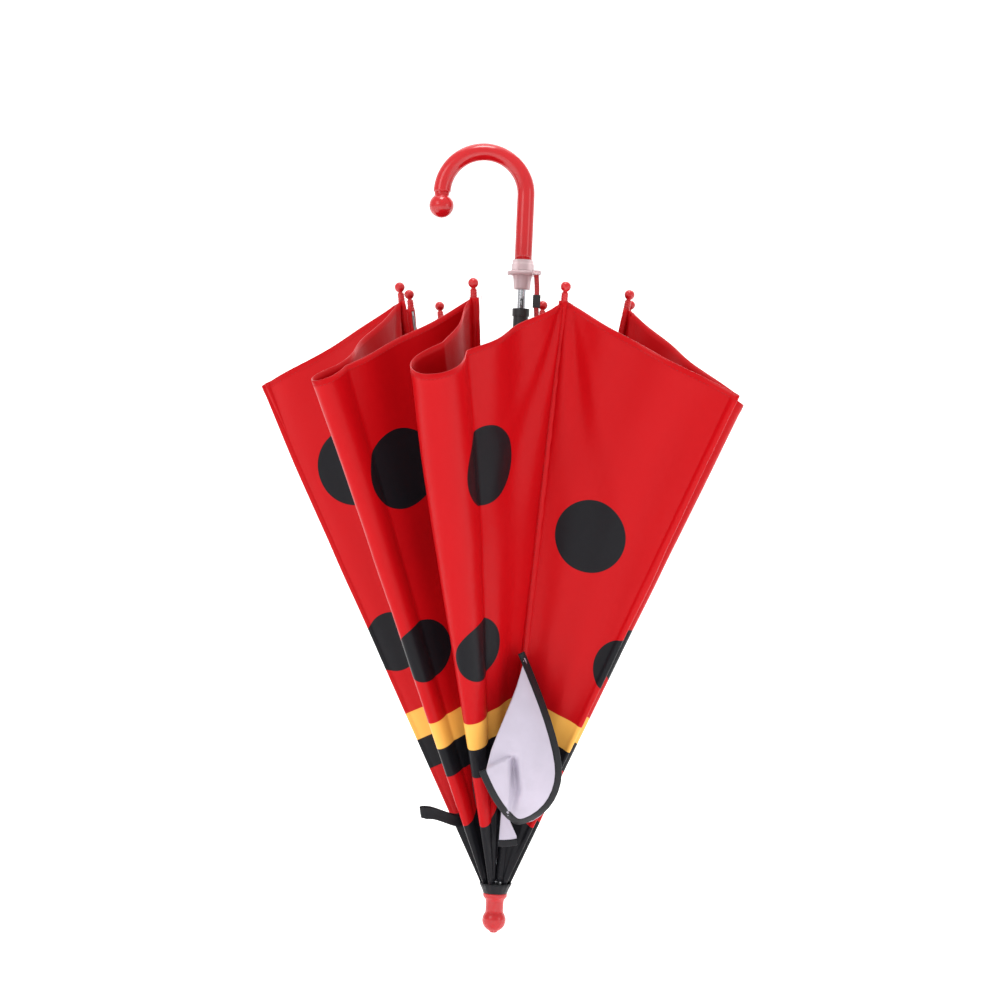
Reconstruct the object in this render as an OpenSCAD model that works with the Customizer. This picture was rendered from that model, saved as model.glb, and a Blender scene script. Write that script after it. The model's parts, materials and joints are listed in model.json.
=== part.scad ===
// Children's stick umbrella, closed, standing on its ferrule with the handle up.
// Heights are measured up from the tip of the ferrule, and distances along a rib
// from its pivot on the crown wire. The whole model is then lowered so that the
// origin lies on the shaft's axis, in the middle of the straight grip.

/* [Overall] */
// Length of a rib, from the crown wire to the middle of its tip ball
rib_length = 482; // [400:1:580]
// Angle between an open rib and the shaft
open_angle = 54; // [48:1:58]
// Outer diameter of the shaft
shaft_diameter = 6.5; // [5.4:0.1:7.8]
// Wall of the shaft's tube
shaft_wall = 0.55; // [0.4:0.05:0.8]

/* [Handle] */
// Diameter of the handle's rod
handle_diameter = 14; // [12:0.5:17]
// Length of the straight grip
grip_length = 51.5; // [40:0.5:70]
// Radius of the crook, to the middle of the rod
crook_radius = 33.6; // [27:0.2:41]
// Diameter of the ball at the crook's end
handle_ball_diameter = 19.7; // [16:0.1:24]
// How far the shaft goes into the grip
shaft_in_grip = 32; // [20:1:38]

/* [Collar] */
// Diameter of the soft ring on the collar
ring_diameter = 25; // [21:0.5:30]
// Thickness of the soft ring
ring_thickness = 3.6; // [2.8:0.2:4.4]
// Height of the cup under the ring
cup_height = 11; // [9:0.5:14]
// Height of the sleeve over the ring
sleeve_height = 9; // [7:0.5:11]

/* [Ferrule and crown] */
// Height of the ferrule
ferrule_height = 32; // [26:0.5:38]
// Diameter of the ball at the ferrule's tip
ferrule_ball_diameter = 19; // [16:0.5:22]
// Diameter of the ferrule's neck
ferrule_neck_diameter = 14.4; // [12:0.2:17]
// Radius of the wire ring that the ribs turn on
crown_wire_radius = 7; // [6.8:0.1:8.4]

/* [Ribs and stretchers] */
// Distance along a rib to its joint with the stretcher
rib_joint = 222; // [185:1:266]
// Length of a stretcher
stretcher_length = 221; // [200:1:264]
// Width of a rib's channel
rib_width = 3.2; // [2.8:0.1:3.8]
// Depth of a rib's channel
rib_depth = 2.6; // [2.2:0.1:3.1]
// Thickness of the channels' sheet steel
sheet = 0.5; // [0.4:0.05:0.6]
// Diameter of the ball on a rib's tip
tip_ball_diameter = 8; // [6.6:0.2:9.6]
// Diameter of the rivet in a rib joint
rivet_diameter = 1.6; // [1.3:0.1:1.8]

/* [Runner] */
// Wall of the runner's body around the shaft
runner_wall = 2.75; // [2.6:0.05:3.3]
// How far the runner's body reaches over the stretchers' pivots
runner_above = 27; // [22:1:32]
// How far the runner's body reaches under the stretchers' pivots
runner_below = 17; // [14:1:20]

/* [Canopy] */
// Distance along a rib to the canopy's hem
hem_distance = 472; // [390:1:570]
// Thickness of the canopy's panels
cloth_thickness = 0.8; // [0.6:0.1:1]
// How far an open gore still stands out at its fold line
open_ridge = 12; // [8:1:18]
// How far the hem is drawn up at a fold
hem_rise = 5; // [4:1:16]

/* [Trim] */
// Radius of a cloth eye
eye_radius = 62; // [50:1:72]
// Distance along a rib to the middle of an eye
eye_distance = 120; // [100:1:140]
// Length of an antenna
antenna_length = 42; // [34:1:50]
// Diameter of the hand cord
cord_diameter = 4; // [3:0.2:4.8]

/* [Hidden] */
rib_count = 8;
// How far each closed rib leans from the shaft, and the compass bearing that it
// leans to, rib 1 first: a closed umbrella's ribs never lie quite evenly.
closed_lean = [11, 10.7, 13.2, 10.9, 11.5, 10.2, 10, 10];
closed_bearing = [27, 80, 126, 157, 203, 246, 291, 337];
even_lean = 10.8;
// Where each gore folds, as a share of its hem, counted from its own rib
fold_share = [0.5, 0.5, 0.5, 0.475, 0.49, 0.445, 0.527, 0.575];

slack = 0.4; // side play of a blade in its slot
fit = 0.05; // radial play of a pin in its hole
run = 0.1; // radial play of a part that runs on another
part_gap = 0.3; // air between parts that don't touch

shaft_radius = shaft_diameter / 2;
blade = 1.4; // thickness of a flattened eye
wire_radius = 0.7;

// Crown: washer on the ferrule, then the notched hub with its wire ring
washer_thickness = 0.8;
hub_base = 2;
root_eye_radius = 1.9;
root_bore_radius = wire_radius + part_gap;
crown_height = ferrule_height + washer_thickness + hub_base + part_gap + root_eye_radius;
hub_radius = crown_wire_radius + 1.8;
hub_core_radius = crown_wire_radius - root_eye_radius - run - part_gap;
hub_slot = blade + 2 * slack + 0.2;
hub_top = crown_height + 3.5;
crown_rivet_radius = 0.6;
rivet_height = ferrule_height + washer_thickness + hub_base / 2;

// Runner: where the stretchers' lower eyes sit, closed and open
stretcher_eye_radius = 1.6;
runner_radius = shaft_radius + runner_wall;
ring_floor_radius = runner_radius + 1.1;
runner_eye_radius = ring_floor_radius + stretcher_eye_radius + 0.7;
runner_ring_radius = runner_eye_radius + 2.2;
runner_ring_half = 4;
flange_radius = runner_radius + 0.9;
flange_thickness = 6;
function runner_stands(lean) = crown_height + rib_joint * cos(lean)
    + sqrt(stretcher_length ^ 2
        - (rib_joint * sin(lean) + crown_wire_radius - runner_eye_radius) ^ 2);
runner_closed = runner_stands(even_lean);
runner_open = runner_stands(open_angle);
runner_travel = runner_closed - runner_open;
runner_top = runner_closed + runner_above;
runner_foot = runner_closed - runner_below;

// Handle end: the collar stands clear of the rib tips and of the raised runner
tips_clearance = 3.5;
bare_shaft = 14.5; // between the runner and the collar
tips_height = crown_height + rib_length * cos(even_lean) + tip_ball_diameter / 8;
collar_height = max(tips_height + tips_clearance, runner_top + bare_shaft);
cup_top_radius = 8;
cup_foot_radius = 6.5;
ring_height = collar_height + cup_height;
sleeve_start = ring_height + ring_thickness;
handle_base = sleeve_start + sleeve_height;
crook_height = handle_base + grip_length;
grip_height = handle_base + grip_length / 2;
handle_radius = handle_diameter / 2;
handle_ball_radius = handle_ball_diameter / 2;
handle_neck_radius = handle_radius - 1;
peg_radius = handle_radius - 3;
neck_show = 1; // bare neck between the rod and its ball
ball_center_height = crook_height - neck_show - handle_ball_radius;
socket_depth = 6;

// Shaft
shaft_foot = 14;
shaft_top = handle_base + shaft_in_grip;

// Catches: sheet-steel springs that stand out through slots in the shaft
catch_thickness = 1;
catch_slot = catch_thickness + 2 * slack;
catch_nose = shaft_radius + 1.75;
catch_height = 20;
catch_slot_foot = 7; // how far over a catch's pin the shaft's slot starts
catch_slot_height = catch_height - 5;
catch_strip = 1.4; // width of the spring's steel strip
catch_reach = 14; // how far a closed catch's foot lies under the runner's top
catch_bearing = 270;
keyway_radius = catch_nose + part_gap;
keyway_width = catch_thickness + 2 * slack + 0.6;
catch_pin_radius = 0.5;
catch_back = shaft_radius - shaft_wall - 1.5;
closed_catch_foot = runner_top - catch_reach;
open_catch_foot = runner_open + runner_above - 3;

// Hand cord: its route's points in millimetres, [across, towards the back, down
// from the underside of the ring]
cord_route = [[11, -12, 0], [12, -12, -12], [12, -13, -26], [13, -12, -40],
    [12, -12, -56], [12, -13, -74], [13, -13, -94]];
cord_sides = 8;
cord_ring_step = 2.5;
clip_size = 6;
clip_height = 10;
clip_drop = 16; // from the underside of the ring to the top of the clip
lug_bearing = -48;
lug_radius = 3.6;
cord_lug_reach = norm([cord_route[0][0], cord_route[0][1]]);

// Trim: clear gap between a seam and the cloth trim that stands out of it
seam_gap = 6;
antenna_width = 9;
left_antenna_distance = 68;
right_antenna_distance = 62;

steel = "silver";
red = "crimson";
black = [0.12, 0.12, 0.13];
cloth_red = [0.84, 0.1, 0.12];
clear_pink = [0.95, 0.85, 0.86, 0.8];

$fn = 48;

// Vectors
function unit(v) = v / norm(v);
function square_part(v, axis) = v - axis * (v * axis);
function turned(v, axis, angle) = v * cos(angle) + cross(axis, v) * sin(angle)
    + axis * (axis * v) * (1 - cos(angle));
function turn_angle(from, to, axis) = atan2(cross(square_part(from, axis),
    square_part(to, axis)) * axis, square_part(from, axis) * square_part(to, axis));
function spoke(bearing, radius, height) =
    [radius * cos(bearing), radius * sin(bearing), height];

// The point at three known distances from the points a, b and c
function meeting_point(a, b, c, from_a, from_b, from_c) =
    let (x_way = unit(b - a), span = norm(b - a), along = x_way * (c - a),
        y_way = unit(c - a - along * x_way), across = y_way * (c - a),
        x = (from_a ^ 2 - from_b ^ 2 + span ^ 2) / (2 * span),
        y = (from_a ^ 2 - from_c ^ 2 + along ^ 2 + across ^ 2 - 2 * along * x)
            / (2 * across),
        z = sqrt(from_a ^ 2 - x ^ 2 - y ^ 2))
    a + x * x_way + y * y_way - z * cross(x_way, y_way);

// Ribs, k counting from 0
function rib_bearing(k) = (k + 0.5) * 360 / rib_count;
function following(k) = (k + 1) % rib_count;
function rib_pivot(k) = spoke(rib_bearing(k), crown_wire_radius, crown_height);
function closed_way(k) =
    spoke(closed_bearing[k], sin(closed_lean[k]), cos(closed_lean[k]));
function open_way(k) = spoke(rib_bearing(k), sin(open_angle), cos(open_angle));
function rib_axis(k) = unit(cross(closed_way(k), open_way(k)));
function rib_turn(k) = turn_angle(closed_way(k), open_way(k), rib_axis(k));
// An open rib's vector, brought back to where it is when the rib is closed
function rib_back(v, k) = turned(v, rib_axis(k), -rib_turn(k));

// Stretchers: each joint lies where one length fits both the closed and open rib
function runner_eye(k, height) = spoke(rib_bearing(k), runner_eye_radius, height);
function joint_distance(k) =
    let (to_closed = runner_eye(k, runner_closed) - rib_pivot(k),
        to_open = runner_eye(k, runner_open) - rib_pivot(k))
    (to_closed * to_closed - to_open * to_open)
        / (2 * (to_closed * closed_way(k) - to_open * open_way(k)));
function joint_point(k) = rib_pivot(k) + joint_distance(k) * closed_way(k);
function stretcher_closed(k) = runner_eye(k, runner_closed) - joint_point(k);
function stretcher_open(k) = rib_back(runner_eye(k, runner_open)
    - rib_pivot(k) - joint_distance(k) * open_way(k), k);
function stretcher_axis(k) = unit(cross(stretcher_closed(k), stretcher_open(k)));
function stretcher_turn(k) =
    turn_angle(stretcher_closed(k), stretcher_open(k), stretcher_axis(k));

// Gores: gore k hangs between rib k and the rib after it, and folds once
function hem_open(k) = rib_pivot(k) + hem_distance * open_way(k);
function hem_closed(k) = rib_pivot(k) + hem_distance * closed_way(k);
function gore_out(k) = unit(cross(hem_open(following(k)) - rib_pivot(k),
    hem_open(k) - rib_pivot(k)));
function fold_open(k) = hem_open(k)
    + fold_share[k] * (hem_open(following(k)) - hem_open(k)) + open_ridge * gore_out(k);
function fold_closed(k) = meeting_point(rib_pivot(k), hem_closed(k),
    hem_closed(following(k)), norm(fold_open(k) - rib_pivot(k)),
    norm(fold_open(k) - hem_open(k)), norm(fold_open(k) - hem_open(following(k))));
function left_turn(k) = turn_angle(fold_closed(k) - rib_pivot(k),
    rib_back(fold_open(k) - rib_pivot(k), k), closed_way(k));
// An open left panel's vector, brought back to where it is when closed
function left_back(v, k) = turned(rib_back(v, k), closed_way(k), -left_turn(k));
function fold_head(k) = rib_pivot(k)
    + left_back((rib_pivot(following(k)) - rib_pivot(k)) / 2, k);
function fold_way(k) = unit(fold_closed(k) - fold_head(k));
function right_turn(k) = turn_angle(hem_closed(following(k)) - fold_closed(k),
    left_back(hem_open(following(k)) - fold_open(k), k), fold_way(k));

module framed() {
    translate([0, 0, -grip_height]) children();
}

// Children drawn with their x, y and z along three square ways from a point
module placed(point, x, y, z) {
    multmatrix([[x[0], y[0], z[0], point[0]], [x[1], y[1], z[1], point[1]],
        [x[2], y[2], z[2], point[2]], [0, 0, 0, 1]])
        children();
}

// z runs along the part, and y the way that it swings when the umbrella opens
module swinging(point, axis, way) {
    placed(point, -axis, cross(axis, way), way) children();
}

module ring_of(inner, outer, height) {
    difference() {
        cylinder(r = outer, h = height);
        translate([0, 0, -1]) cylinder(r = inner, h = height + 2);
    }
}

module cross_pin(radius, length) {
    rotate([0, 90, 0]) cylinder(r = radius, h = length, center = true);
}

module shaft() {
    color(steel) framed() difference() {
        translate([0, 0, shaft_foot]) ring_of(shaft_radius - shaft_wall, shaft_radius,
            shaft_top - shaft_foot);
        translate([0, 0, rivet_height]) cross_pin(crown_rivet_radius + fit, 20);
        for (foot = [closed_catch_foot, open_catch_foot]) translate([0, 0, foot]) {
            cross_pin(catch_pin_radius + fit, 20);
            translate([-catch_slot / 2, -shaft_radius - 1, catch_slot_foot])
                cube([catch_slot, shaft_radius, catch_slot_height]);
        }
    }
}

module handle_crook() {
    color(red) framed() difference() {
        union() {
            translate([0, 0, handle_base]) cylinder(r = handle_radius, h = grip_length);
            translate([-crook_radius, 0, crook_height]) rotate([90, 0, 0])
                rotate_extrude(angle = 180, $fn = 96) translate([crook_radius, 0])
                    circle(r = handle_radius);
        }
        translate([0, 0, handle_base - 1]) cylinder(r = shaft_radius, h = shaft_in_grip + 1);
        translate([-2 * crook_radius, 0, crook_height - 1])
            cylinder(r = peg_radius + fit, h = socket_depth + 1);
    }
}

module handle_ball() {
    color(red) framed() translate([-2 * crook_radius, 0, 0]) {
        translate([0, 0, ball_center_height]) sphere(r = handle_ball_radius, $fn = 64);
        translate([0, 0, ball_center_height])
            cylinder(r = handle_neck_radius, h = crook_height - ball_center_height);
        translate([0, 0, ball_center_height])
            cylinder(r = peg_radius, h = crook_height - ball_center_height + socket_depth - 1);
    }
}

module safety_collar() {
    sleeve_radius = handle_radius + 1.5;
    color(clear_pink) framed() difference() {
        union() {
            translate([0, 0, collar_height])
                cylinder(r1 = cup_foot_radius, r2 = cup_top_radius, h = cup_height);
            translate([0, 0, ring_height]) cylinder(r = cup_top_radius, h = ring_thickness);
            translate([0, 0, sleeve_start])
                cylinder(r1 = sleeve_radius + 0.4, r2 = sleeve_radius, h = sleeve_height);
        }
        translate([0, 0, collar_height - 1])
            cylinder(r = shaft_radius, h = handle_base - collar_height + 2);
    }
}

module collar_ring() {
    color(clear_pink) framed() translate([0, 0, ring_height]) difference() {
        union() {
            cylinder(r = ring_diameter / 2, h = ring_thickness);
            rotate([0, 0, lug_bearing]) translate([cord_lug_reach, 0, 0])
                cylinder(r = lug_radius, h = ring_thickness);
        }
        translate([0, 0, -1]) cylinder(r = cup_top_radius, h = ring_thickness + 2);
    }
}

module ferrule() {
    ball_radius = ferrule_ball_diameter / 2;
    ball_height = 10.4;
    neck_radius = ferrule_neck_diameter / 2;
    rim_radius = neck_radius + 2.5;
    flare_start = ferrule_height - 6;
    color(red) framed() difference() {
        union() {
            translate([0, 0, ball_height]) sphere(r = ball_radius, $fn = 64);
            cylinder(r1 = 3.5, r2 = 5, h = ball_height / 3);
            translate([0, 0, ball_height]) cylinder(r = neck_radius, h = flare_start - ball_height);
            translate([0, 0, flare_start])
                cylinder(r1 = neck_radius, r2 = rim_radius, h = ferrule_height - flare_start);
        }
        translate([0, 0, shaft_foot]) cylinder(r = shaft_radius, h = ferrule_height);
    }
}

module crown_washer() {
    color(black) framed() translate([0, 0, ferrule_height])
        ring_of(shaft_radius, hub_radius + 0.8, washer_thickness);
}

// Hub with a slot for each rib's root and a round groove for the wire
module crown_hub() {
    hub_foot = ferrule_height + washer_thickness;
    color(black) framed() difference() {
        translate([0, 0, hub_foot]) ring_of(shaft_radius, hub_radius, hub_top - hub_foot);
        for (k = [0:rib_count - 1]) rotate([0, 0, rib_bearing(k)])
            translate([hub_core_radius, -hub_slot / 2, hub_foot + hub_base])
                cube([hub_radius, hub_slot, hub_top]);
        translate([0, 0, crown_height]) rotate_extrude()
            translate([crown_wire_radius, 0]) circle(r = wire_radius + fit);
        translate([0, 0, rivet_height]) cross_pin(crown_rivet_radius + fit, 30);
    }
}

module crown_wire() {
    color(steel) framed() translate([0, 0, crown_height]) rotate_extrude()
        translate([crown_wire_radius, 0]) circle(r = wire_radius);
}

module crown_rivet() {
    color(steel) framed() translate([0, 0, rivet_height])
        cross_pin(crown_rivet_radius, 2 * hub_radius - 1);
}

module catch_pins() {
    color(steel) framed() for (foot = [closed_catch_foot, open_catch_foot])
        translate([0, 0, foot]) cross_pin(catch_pin_radius, shaft_diameter - 0.2);
}

// Flat spring seen from the side: x outward from the shaft's axis, y up
module catch_spring(foot) {
    tail = 1.6;
    tail_half = 0.9;
    strip_start = 6;
    nose_foot = 7.5;
    nose_height = 16;
    nose_head = 17.5;
    strip_front = catch_back + catch_strip;
    color(steel) framed() translate([0, 0, foot]) rotate([90, 0, catch_bearing])
        translate([0, 0, -catch_thickness / 2]) difference() {
            linear_extrude(catch_thickness) polygon([[-tail_half, -tail],
                [tail_half, -tail], [strip_front, nose_foot], [catch_nose, nose_height],
                [strip_front, nose_head], [strip_front, catch_height],
                [catch_back, catch_height], [catch_back, strip_start],
                [-tail_half, tail]]);
            translate([0, 0, -1]) cylinder(r = catch_pin_radius + run, h = catch_thickness + 2);
        }
}
module closed_catch() {
    catch_spring(closed_catch_foot);
}
module open_catch() {
    catch_spring(open_catch_foot);
}

// Runner with a keyway for the catches and a slotted ring for the stretchers
module runner() {
    sideways_swing = 2.9; // play for stretchers that don't lean straight out
    ring_slot = blade + 2 * slack + sideways_swing;
    length = runner_above + runner_below;
    color(black) framed() difference() {
        union() {
            translate([0, 0, runner_foot]) cylinder(r = runner_radius, h = length);
            translate([0, 0, runner_top - flange_thickness])
                cylinder(r = flange_radius, h = flange_thickness);
            translate([0, 0, runner_closed - runner_ring_half])
                cylinder(r = runner_ring_radius, h = 2 * runner_ring_half);
        }
        translate([0, 0, runner_foot - 1]) cylinder(r = shaft_radius + run, h = length + 2);
        for (k = [0:rib_count - 1]) rotate([0, 0, rib_bearing(k)])
            translate([ring_floor_radius, -ring_slot / 2, runner_closed - runner_ring_half - 1])
                cube([runner_ring_radius, ring_slot, 2 * runner_ring_half + 2]);
        rotate([0, 0, catch_bearing])
            translate([0, -keyway_width / 2, runner_foot - 1])
                cube([keyway_radius, keyway_width, length + 2]);
    }
}

// The cord is a tube swept along its route with its rings square to the axis z
function smooth(a, b, c, d, t) = 0.5 * (2 * b + (c - a) * t
    + (2 * a - 5 * b + 4 * c - d) * t ^ 2 + (3 * b - a - 3 * c + d) * t ^ 3);
function held(points, i) = points[min(max(i, 0), len(points) - 1)];
function swept_line(points, steps) = concat([for (i = [0:len(points) - 2], s = [0:steps - 1])
    smooth(held(points, i - 1), points[i], points[i + 1], held(points, i + 2), s / steps)],
    [points[len(points) - 1]]);
module tube_along(line, radius, sides) {
    last = len(line) - 1;
    rings = [for (p = line, i = [0:sides - 1]) p + spoke(i * 360 / sides, radius, 0)];
    walls = [for (r = [0:last - 1], i = [0:sides - 1]) let (j = (i + 1) % sides)
        [r * sides + i, r * sides + j, (r + 1) * sides + j, (r + 1) * sides + i]];
    polyhedron(rings, concat(walls, [[for (i = [sides - 1:-1:0]) i]],
        [[for (i = [0:sides - 1]) last * sides + i]]), convexity = 4);
}
module hand_cord() {
    steps = 2;
    color(red) framed() translate([0, 0, ring_height])
        tube_along(swept_line(cord_route, steps), cord_diameter / 2, cord_sides);
}

module cord_clip() {
    spot = [12, -12.3, -clip_drop - clip_height];
    color(black) framed() translate([0, 0, ring_height]) translate(spot) difference() {
        translate([-clip_size / 2, -clip_size / 2, 0]) cube([clip_size, clip_size, clip_height]);
        translate([0, 0, -1]) cylinder(r = cord_diameter / 2 + 0.6, h = clip_height + 2);
    }
}

// Channel of folded sheet, open towards the shaft
module channel(width, depth, back, length) {
    translate([0, back, 0]) linear_extrude(length) difference() {
        translate([-width / 2, -depth]) square([width, depth]);
        translate([-width / 2 + sheet, -depth - 1]) square([width - 2 * sheet, depth + 1 - sheet]);
    }
}

module rib(k) {
    start = 10;
    back = rib_depth - 0.2;
    ear_radius = 2.2;
    pin_radius = (rib_depth - 0.1) / 2;
    channel_end = rib_length - 14;
    color(steel) framed() {
        difference() {
            union() {
                swinging(rib_pivot(k), rib_axis(k), closed_way(k)) {
                    cross_pin(root_eye_radius, blade);
                    translate([-blade / 2, -1.2, 0]) cube([blade, back + 1.2 - 0.2, start + 6]);
                    translate([0, 0, start])
                        channel(rib_width, rib_depth, back, channel_end - start);
                    translate([0, back - rib_depth / 2, channel_end - 4])
                        cylinder(r = pin_radius, h = 12);
                }
                swinging(joint_point(k), stretcher_axis(k), closed_way(k))
                    for (side = [-1, 1]) translate([side * (rib_width - sheet) / 2, 0, 0])
                        cross_pin(ear_radius, sheet);
            }
            swinging(rib_pivot(k), rib_axis(k), closed_way(k))
                cross_pin(root_bore_radius, blade + 2);
            swinging(joint_point(k), stretcher_axis(k), closed_way(k))
                cross_pin(rivet_diameter / 2 + fit, rib_width + 4);
        }
        swinging(joint_point(k), stretcher_axis(k), closed_way(k))
            cross_pin(rivet_diameter / 2, rib_width + 0.6);
    }
}

module rib_tip(k) {
    sleeve_radius = 2.5;
    sleeve_length = 9;
    neck_radius = 1.5;
    pin_radius = (rib_depth - 0.1) / 2;
    sleeve_foot = rib_length - 14;
    middle = rib_depth / 2 - 0.2;
    color(red) framed() swinging(rib_pivot(k), rib_axis(k), closed_way(k))
        translate([0, middle, 0]) difference() {
            union() {
                translate([0, 0, sleeve_foot]) cylinder(r = sleeve_radius, h = sleeve_length);
                translate([0, 0, sleeve_foot + sleeve_length - 1])
                    cylinder(r = neck_radius, h = rib_length - sleeve_foot - sleeve_length);
                translate([0, 0, rib_length]) sphere(r = tip_ball_diameter / 2);
            }
            translate([0, 0, sleeve_foot - 1]) cylinder(r = pin_radius + fit, h = 9.5);
        }
}

module stretcher(k) {
    length = norm(stretcher_closed(k));
    start = 9;
    runner_end = 15; // flat part at the runner, longer than the runner's ring is high
    width = 2.8;
    depth = 2.4;
    way = unit(stretcher_closed(k));
    color(steel) framed() swinging(joint_point(k), stretcher_axis(k), way) difference() {
        union() {
            cross_pin(stretcher_eye_radius, blade);
            translate([0, 0, length]) cross_pin(stretcher_eye_radius, blade);
            translate([-blade / 2, -1.1, 0]) cube([blade, 2.1, start + 5]);
            translate([-blade / 2, -1.1, length - runner_end - 5])
                cube([blade, 2.1, runner_end + 5]);
            translate([0, 0, start])
                channel(width, depth, depth / 2, length - start - runner_end);
        }
        cross_pin(rivet_diameter / 2 + run, 4);
        translate([0, 0, length]) cross_pin(wire_radius + run, 4);
    }
}

// Half a gore as a flat plate, from its rib's line to the fold, which it stays
// short of on both sides so that it clears the rib and the other half
module panel(pivot, way, fold_point) {
    from_rib = 5;
    from_fold = 2.6;
    start = 48;
    reach = fold_point - pivot;
    across = unit(square_part(reach, way));
    spread = acos(reach * way / norm(reach));
    fold_edge = [from_fold * sin(spread), -from_fold * cos(spread)];
    fold_dir = [cos(spread), sin(spread)];
    color(cloth_red) framed() placed(pivot, way, across, cross(way, across))
        linear_extrude(cloth_thickness, center = true) polygon([[start, from_rib],
            [hem_distance, from_rib], (norm(reach) - hem_rise) * fold_dir + fold_edge,
            start * fold_dir + fold_edge]);
}
module panel_left(k) {
    panel(rib_pivot(k), closed_way(k), fold_closed(k));
}
module panel_right(k) {
    panel(rib_pivot(following(k)), closed_way(following(k)), fold_closed(k));
}

// Cloth trim that stands out of the seam over rib k, in the plane of a bearing
module seam_trim(k, bearing, distance, thickness, shade) {
    way = closed_way(k);
    out = unit(square_part(spoke(bearing, 1, 0), way));
    color(shade) framed() placed(rib_pivot(k) + distance * way, out, way, cross(out, way))
        linear_extrude(thickness, center = true) children();
}
module eye(k, bearing, width) {
    seam_trim(k, bearing, eye_distance, 1, "white") intersection() {
        circle(r = eye_radius, $fn = 64);
        translate([seam_gap, -eye_radius]) square([width, 2 * eye_radius]);
    }
}
module eye_near() {
    eye(6, 305, 54);
}
module eye_far() {
    eye(5, 239, 14);
}
// The left antenna stands out, and the right one is pressed flat along its seam
module antenna_left() {
    seam_trim(4, 203, left_antenna_distance, 3, black)
        translate([seam_gap, -antenna_width / 2]) square([antenna_length, antenna_width]);
}
module antenna_right() {
    seam_trim(7, 357, right_antenna_distance, 3, black)
        translate([seam_gap - 1, 0]) square([antenna_width, antenna_length]);
}

shaft();
handle_crook();
handle_ball();
safety_collar();
collar_ring();
ferrule();
crown_washer();
crown_hub();
crown_wire();
crown_rivet();
catch_pins();
closed_catch();
open_catch();
runner();
hand_cord();
cord_clip();
for (k = [0:rib_count - 1]) {
    rib(k);
    rib_tip(k);
    stretcher(k);
    panel_left(k);
    panel_right(k);
}
eye_near();
eye_far();
antenna_left();
antenna_right();
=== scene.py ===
"""Children's stick umbrella: cloth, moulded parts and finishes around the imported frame."""

import json
import math

import bmesh
import bpy
import numpy as np
from bpy.props import FloatProperty, FloatVectorProperty, IntProperty, PointerProperty
from mathutils import Matrix, Vector


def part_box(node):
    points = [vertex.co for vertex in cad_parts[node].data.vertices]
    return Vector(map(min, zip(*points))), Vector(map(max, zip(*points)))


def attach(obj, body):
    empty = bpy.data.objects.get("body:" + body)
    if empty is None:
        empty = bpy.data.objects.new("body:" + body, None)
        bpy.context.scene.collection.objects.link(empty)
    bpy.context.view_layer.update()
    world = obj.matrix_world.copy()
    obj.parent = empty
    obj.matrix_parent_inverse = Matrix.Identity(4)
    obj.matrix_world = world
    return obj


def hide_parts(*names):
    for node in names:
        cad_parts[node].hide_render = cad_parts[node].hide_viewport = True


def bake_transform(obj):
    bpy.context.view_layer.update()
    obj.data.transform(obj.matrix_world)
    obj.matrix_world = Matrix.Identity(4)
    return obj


bl_info = {
    "name": "Children's umbrella",
    "version": (1, 0, 0),
    "blender": (4, 5, 0),
    "location": "View3D > Sidebar > Umbrella",
    "description": "Cloth, trim and moulded parts of a children's stick umbrella",
    "category": "Object",
}

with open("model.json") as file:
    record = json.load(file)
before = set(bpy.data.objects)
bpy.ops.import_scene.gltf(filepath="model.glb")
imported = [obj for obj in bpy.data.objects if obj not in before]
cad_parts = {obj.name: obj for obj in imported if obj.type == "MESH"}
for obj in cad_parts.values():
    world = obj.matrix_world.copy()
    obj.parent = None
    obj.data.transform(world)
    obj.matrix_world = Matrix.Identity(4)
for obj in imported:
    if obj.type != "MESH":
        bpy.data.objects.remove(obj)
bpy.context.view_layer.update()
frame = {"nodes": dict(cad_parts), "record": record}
JOINTS = {j["name"]: j for j in frame["record"]["behaviour"]["joints"]}
RIBS = 8
MM = 0.001
UP = np.array([0.0, 0.0, 1.0])
GRIP_HEIGHT = -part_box("ferrule")[0].z  # the origin's height over the ferrule's tip


# --- Sizes and colours ------------------------------------------------------------


class CanopySizes(bpy.types.PropertyGroup):
    """Cut and print of the canopy"""

    cloth_thickness: FloatProperty(
        name="Cloth thickness", description="Thickness of the printed satin",
        default=0.35 * MM, unit="LENGTH")
    hem_width: FloatProperty(
        name="Hem width", description="Width of the turned hem",
        default=7 * MM, unit="LENGTH")
    fold_width: FloatProperty(
        name="Fold width", description="Cloth taken up by a sharp fold at the hem",
        default=16 * MM, unit="LENGTH")
    hem_rise: FloatProperty(
        name="Hem rise", description="How far the hem is drawn up between two ribs",
        default=6 * MM, unit="LENGTH")
    ripple: FloatProperty(
        name="Ripple", description="Height of the cloth's soft ripples",
        default=2.2 * MM, unit="LENGTH")
    crown_edge: FloatProperty(
        name="Crown edge", description="Distance from the crown to the black print's edge",
        default=0.104, unit="LENGTH")
    yellow_start: FloatProperty(
        name="Yellow start", description="Distance from the crown to the yellow band",
        default=0.129, unit="LENGTH")
    yellow_end: FloatProperty(
        name="Yellow end", description="Distance from the crown to the red field",
        default=0.152, unit="LENGTH")
    red: FloatVectorProperty(
        name="Red", description="Red of the cloth", subtype="COLOR",
        default=(0.50, 0.003, 0.006), min=0, max=1)
    black: FloatVectorProperty(
        name="Black", description="Black of the print", subtype="COLOR",
        default=(0.009, 0.009, 0.0115), min=0, max=1)
    yellow: FloatVectorProperty(
        name="Yellow", description="Yellow of the band", subtype="COLOR",
        default=(0.90, 0.46, 0.09), min=0, max=1)


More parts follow.
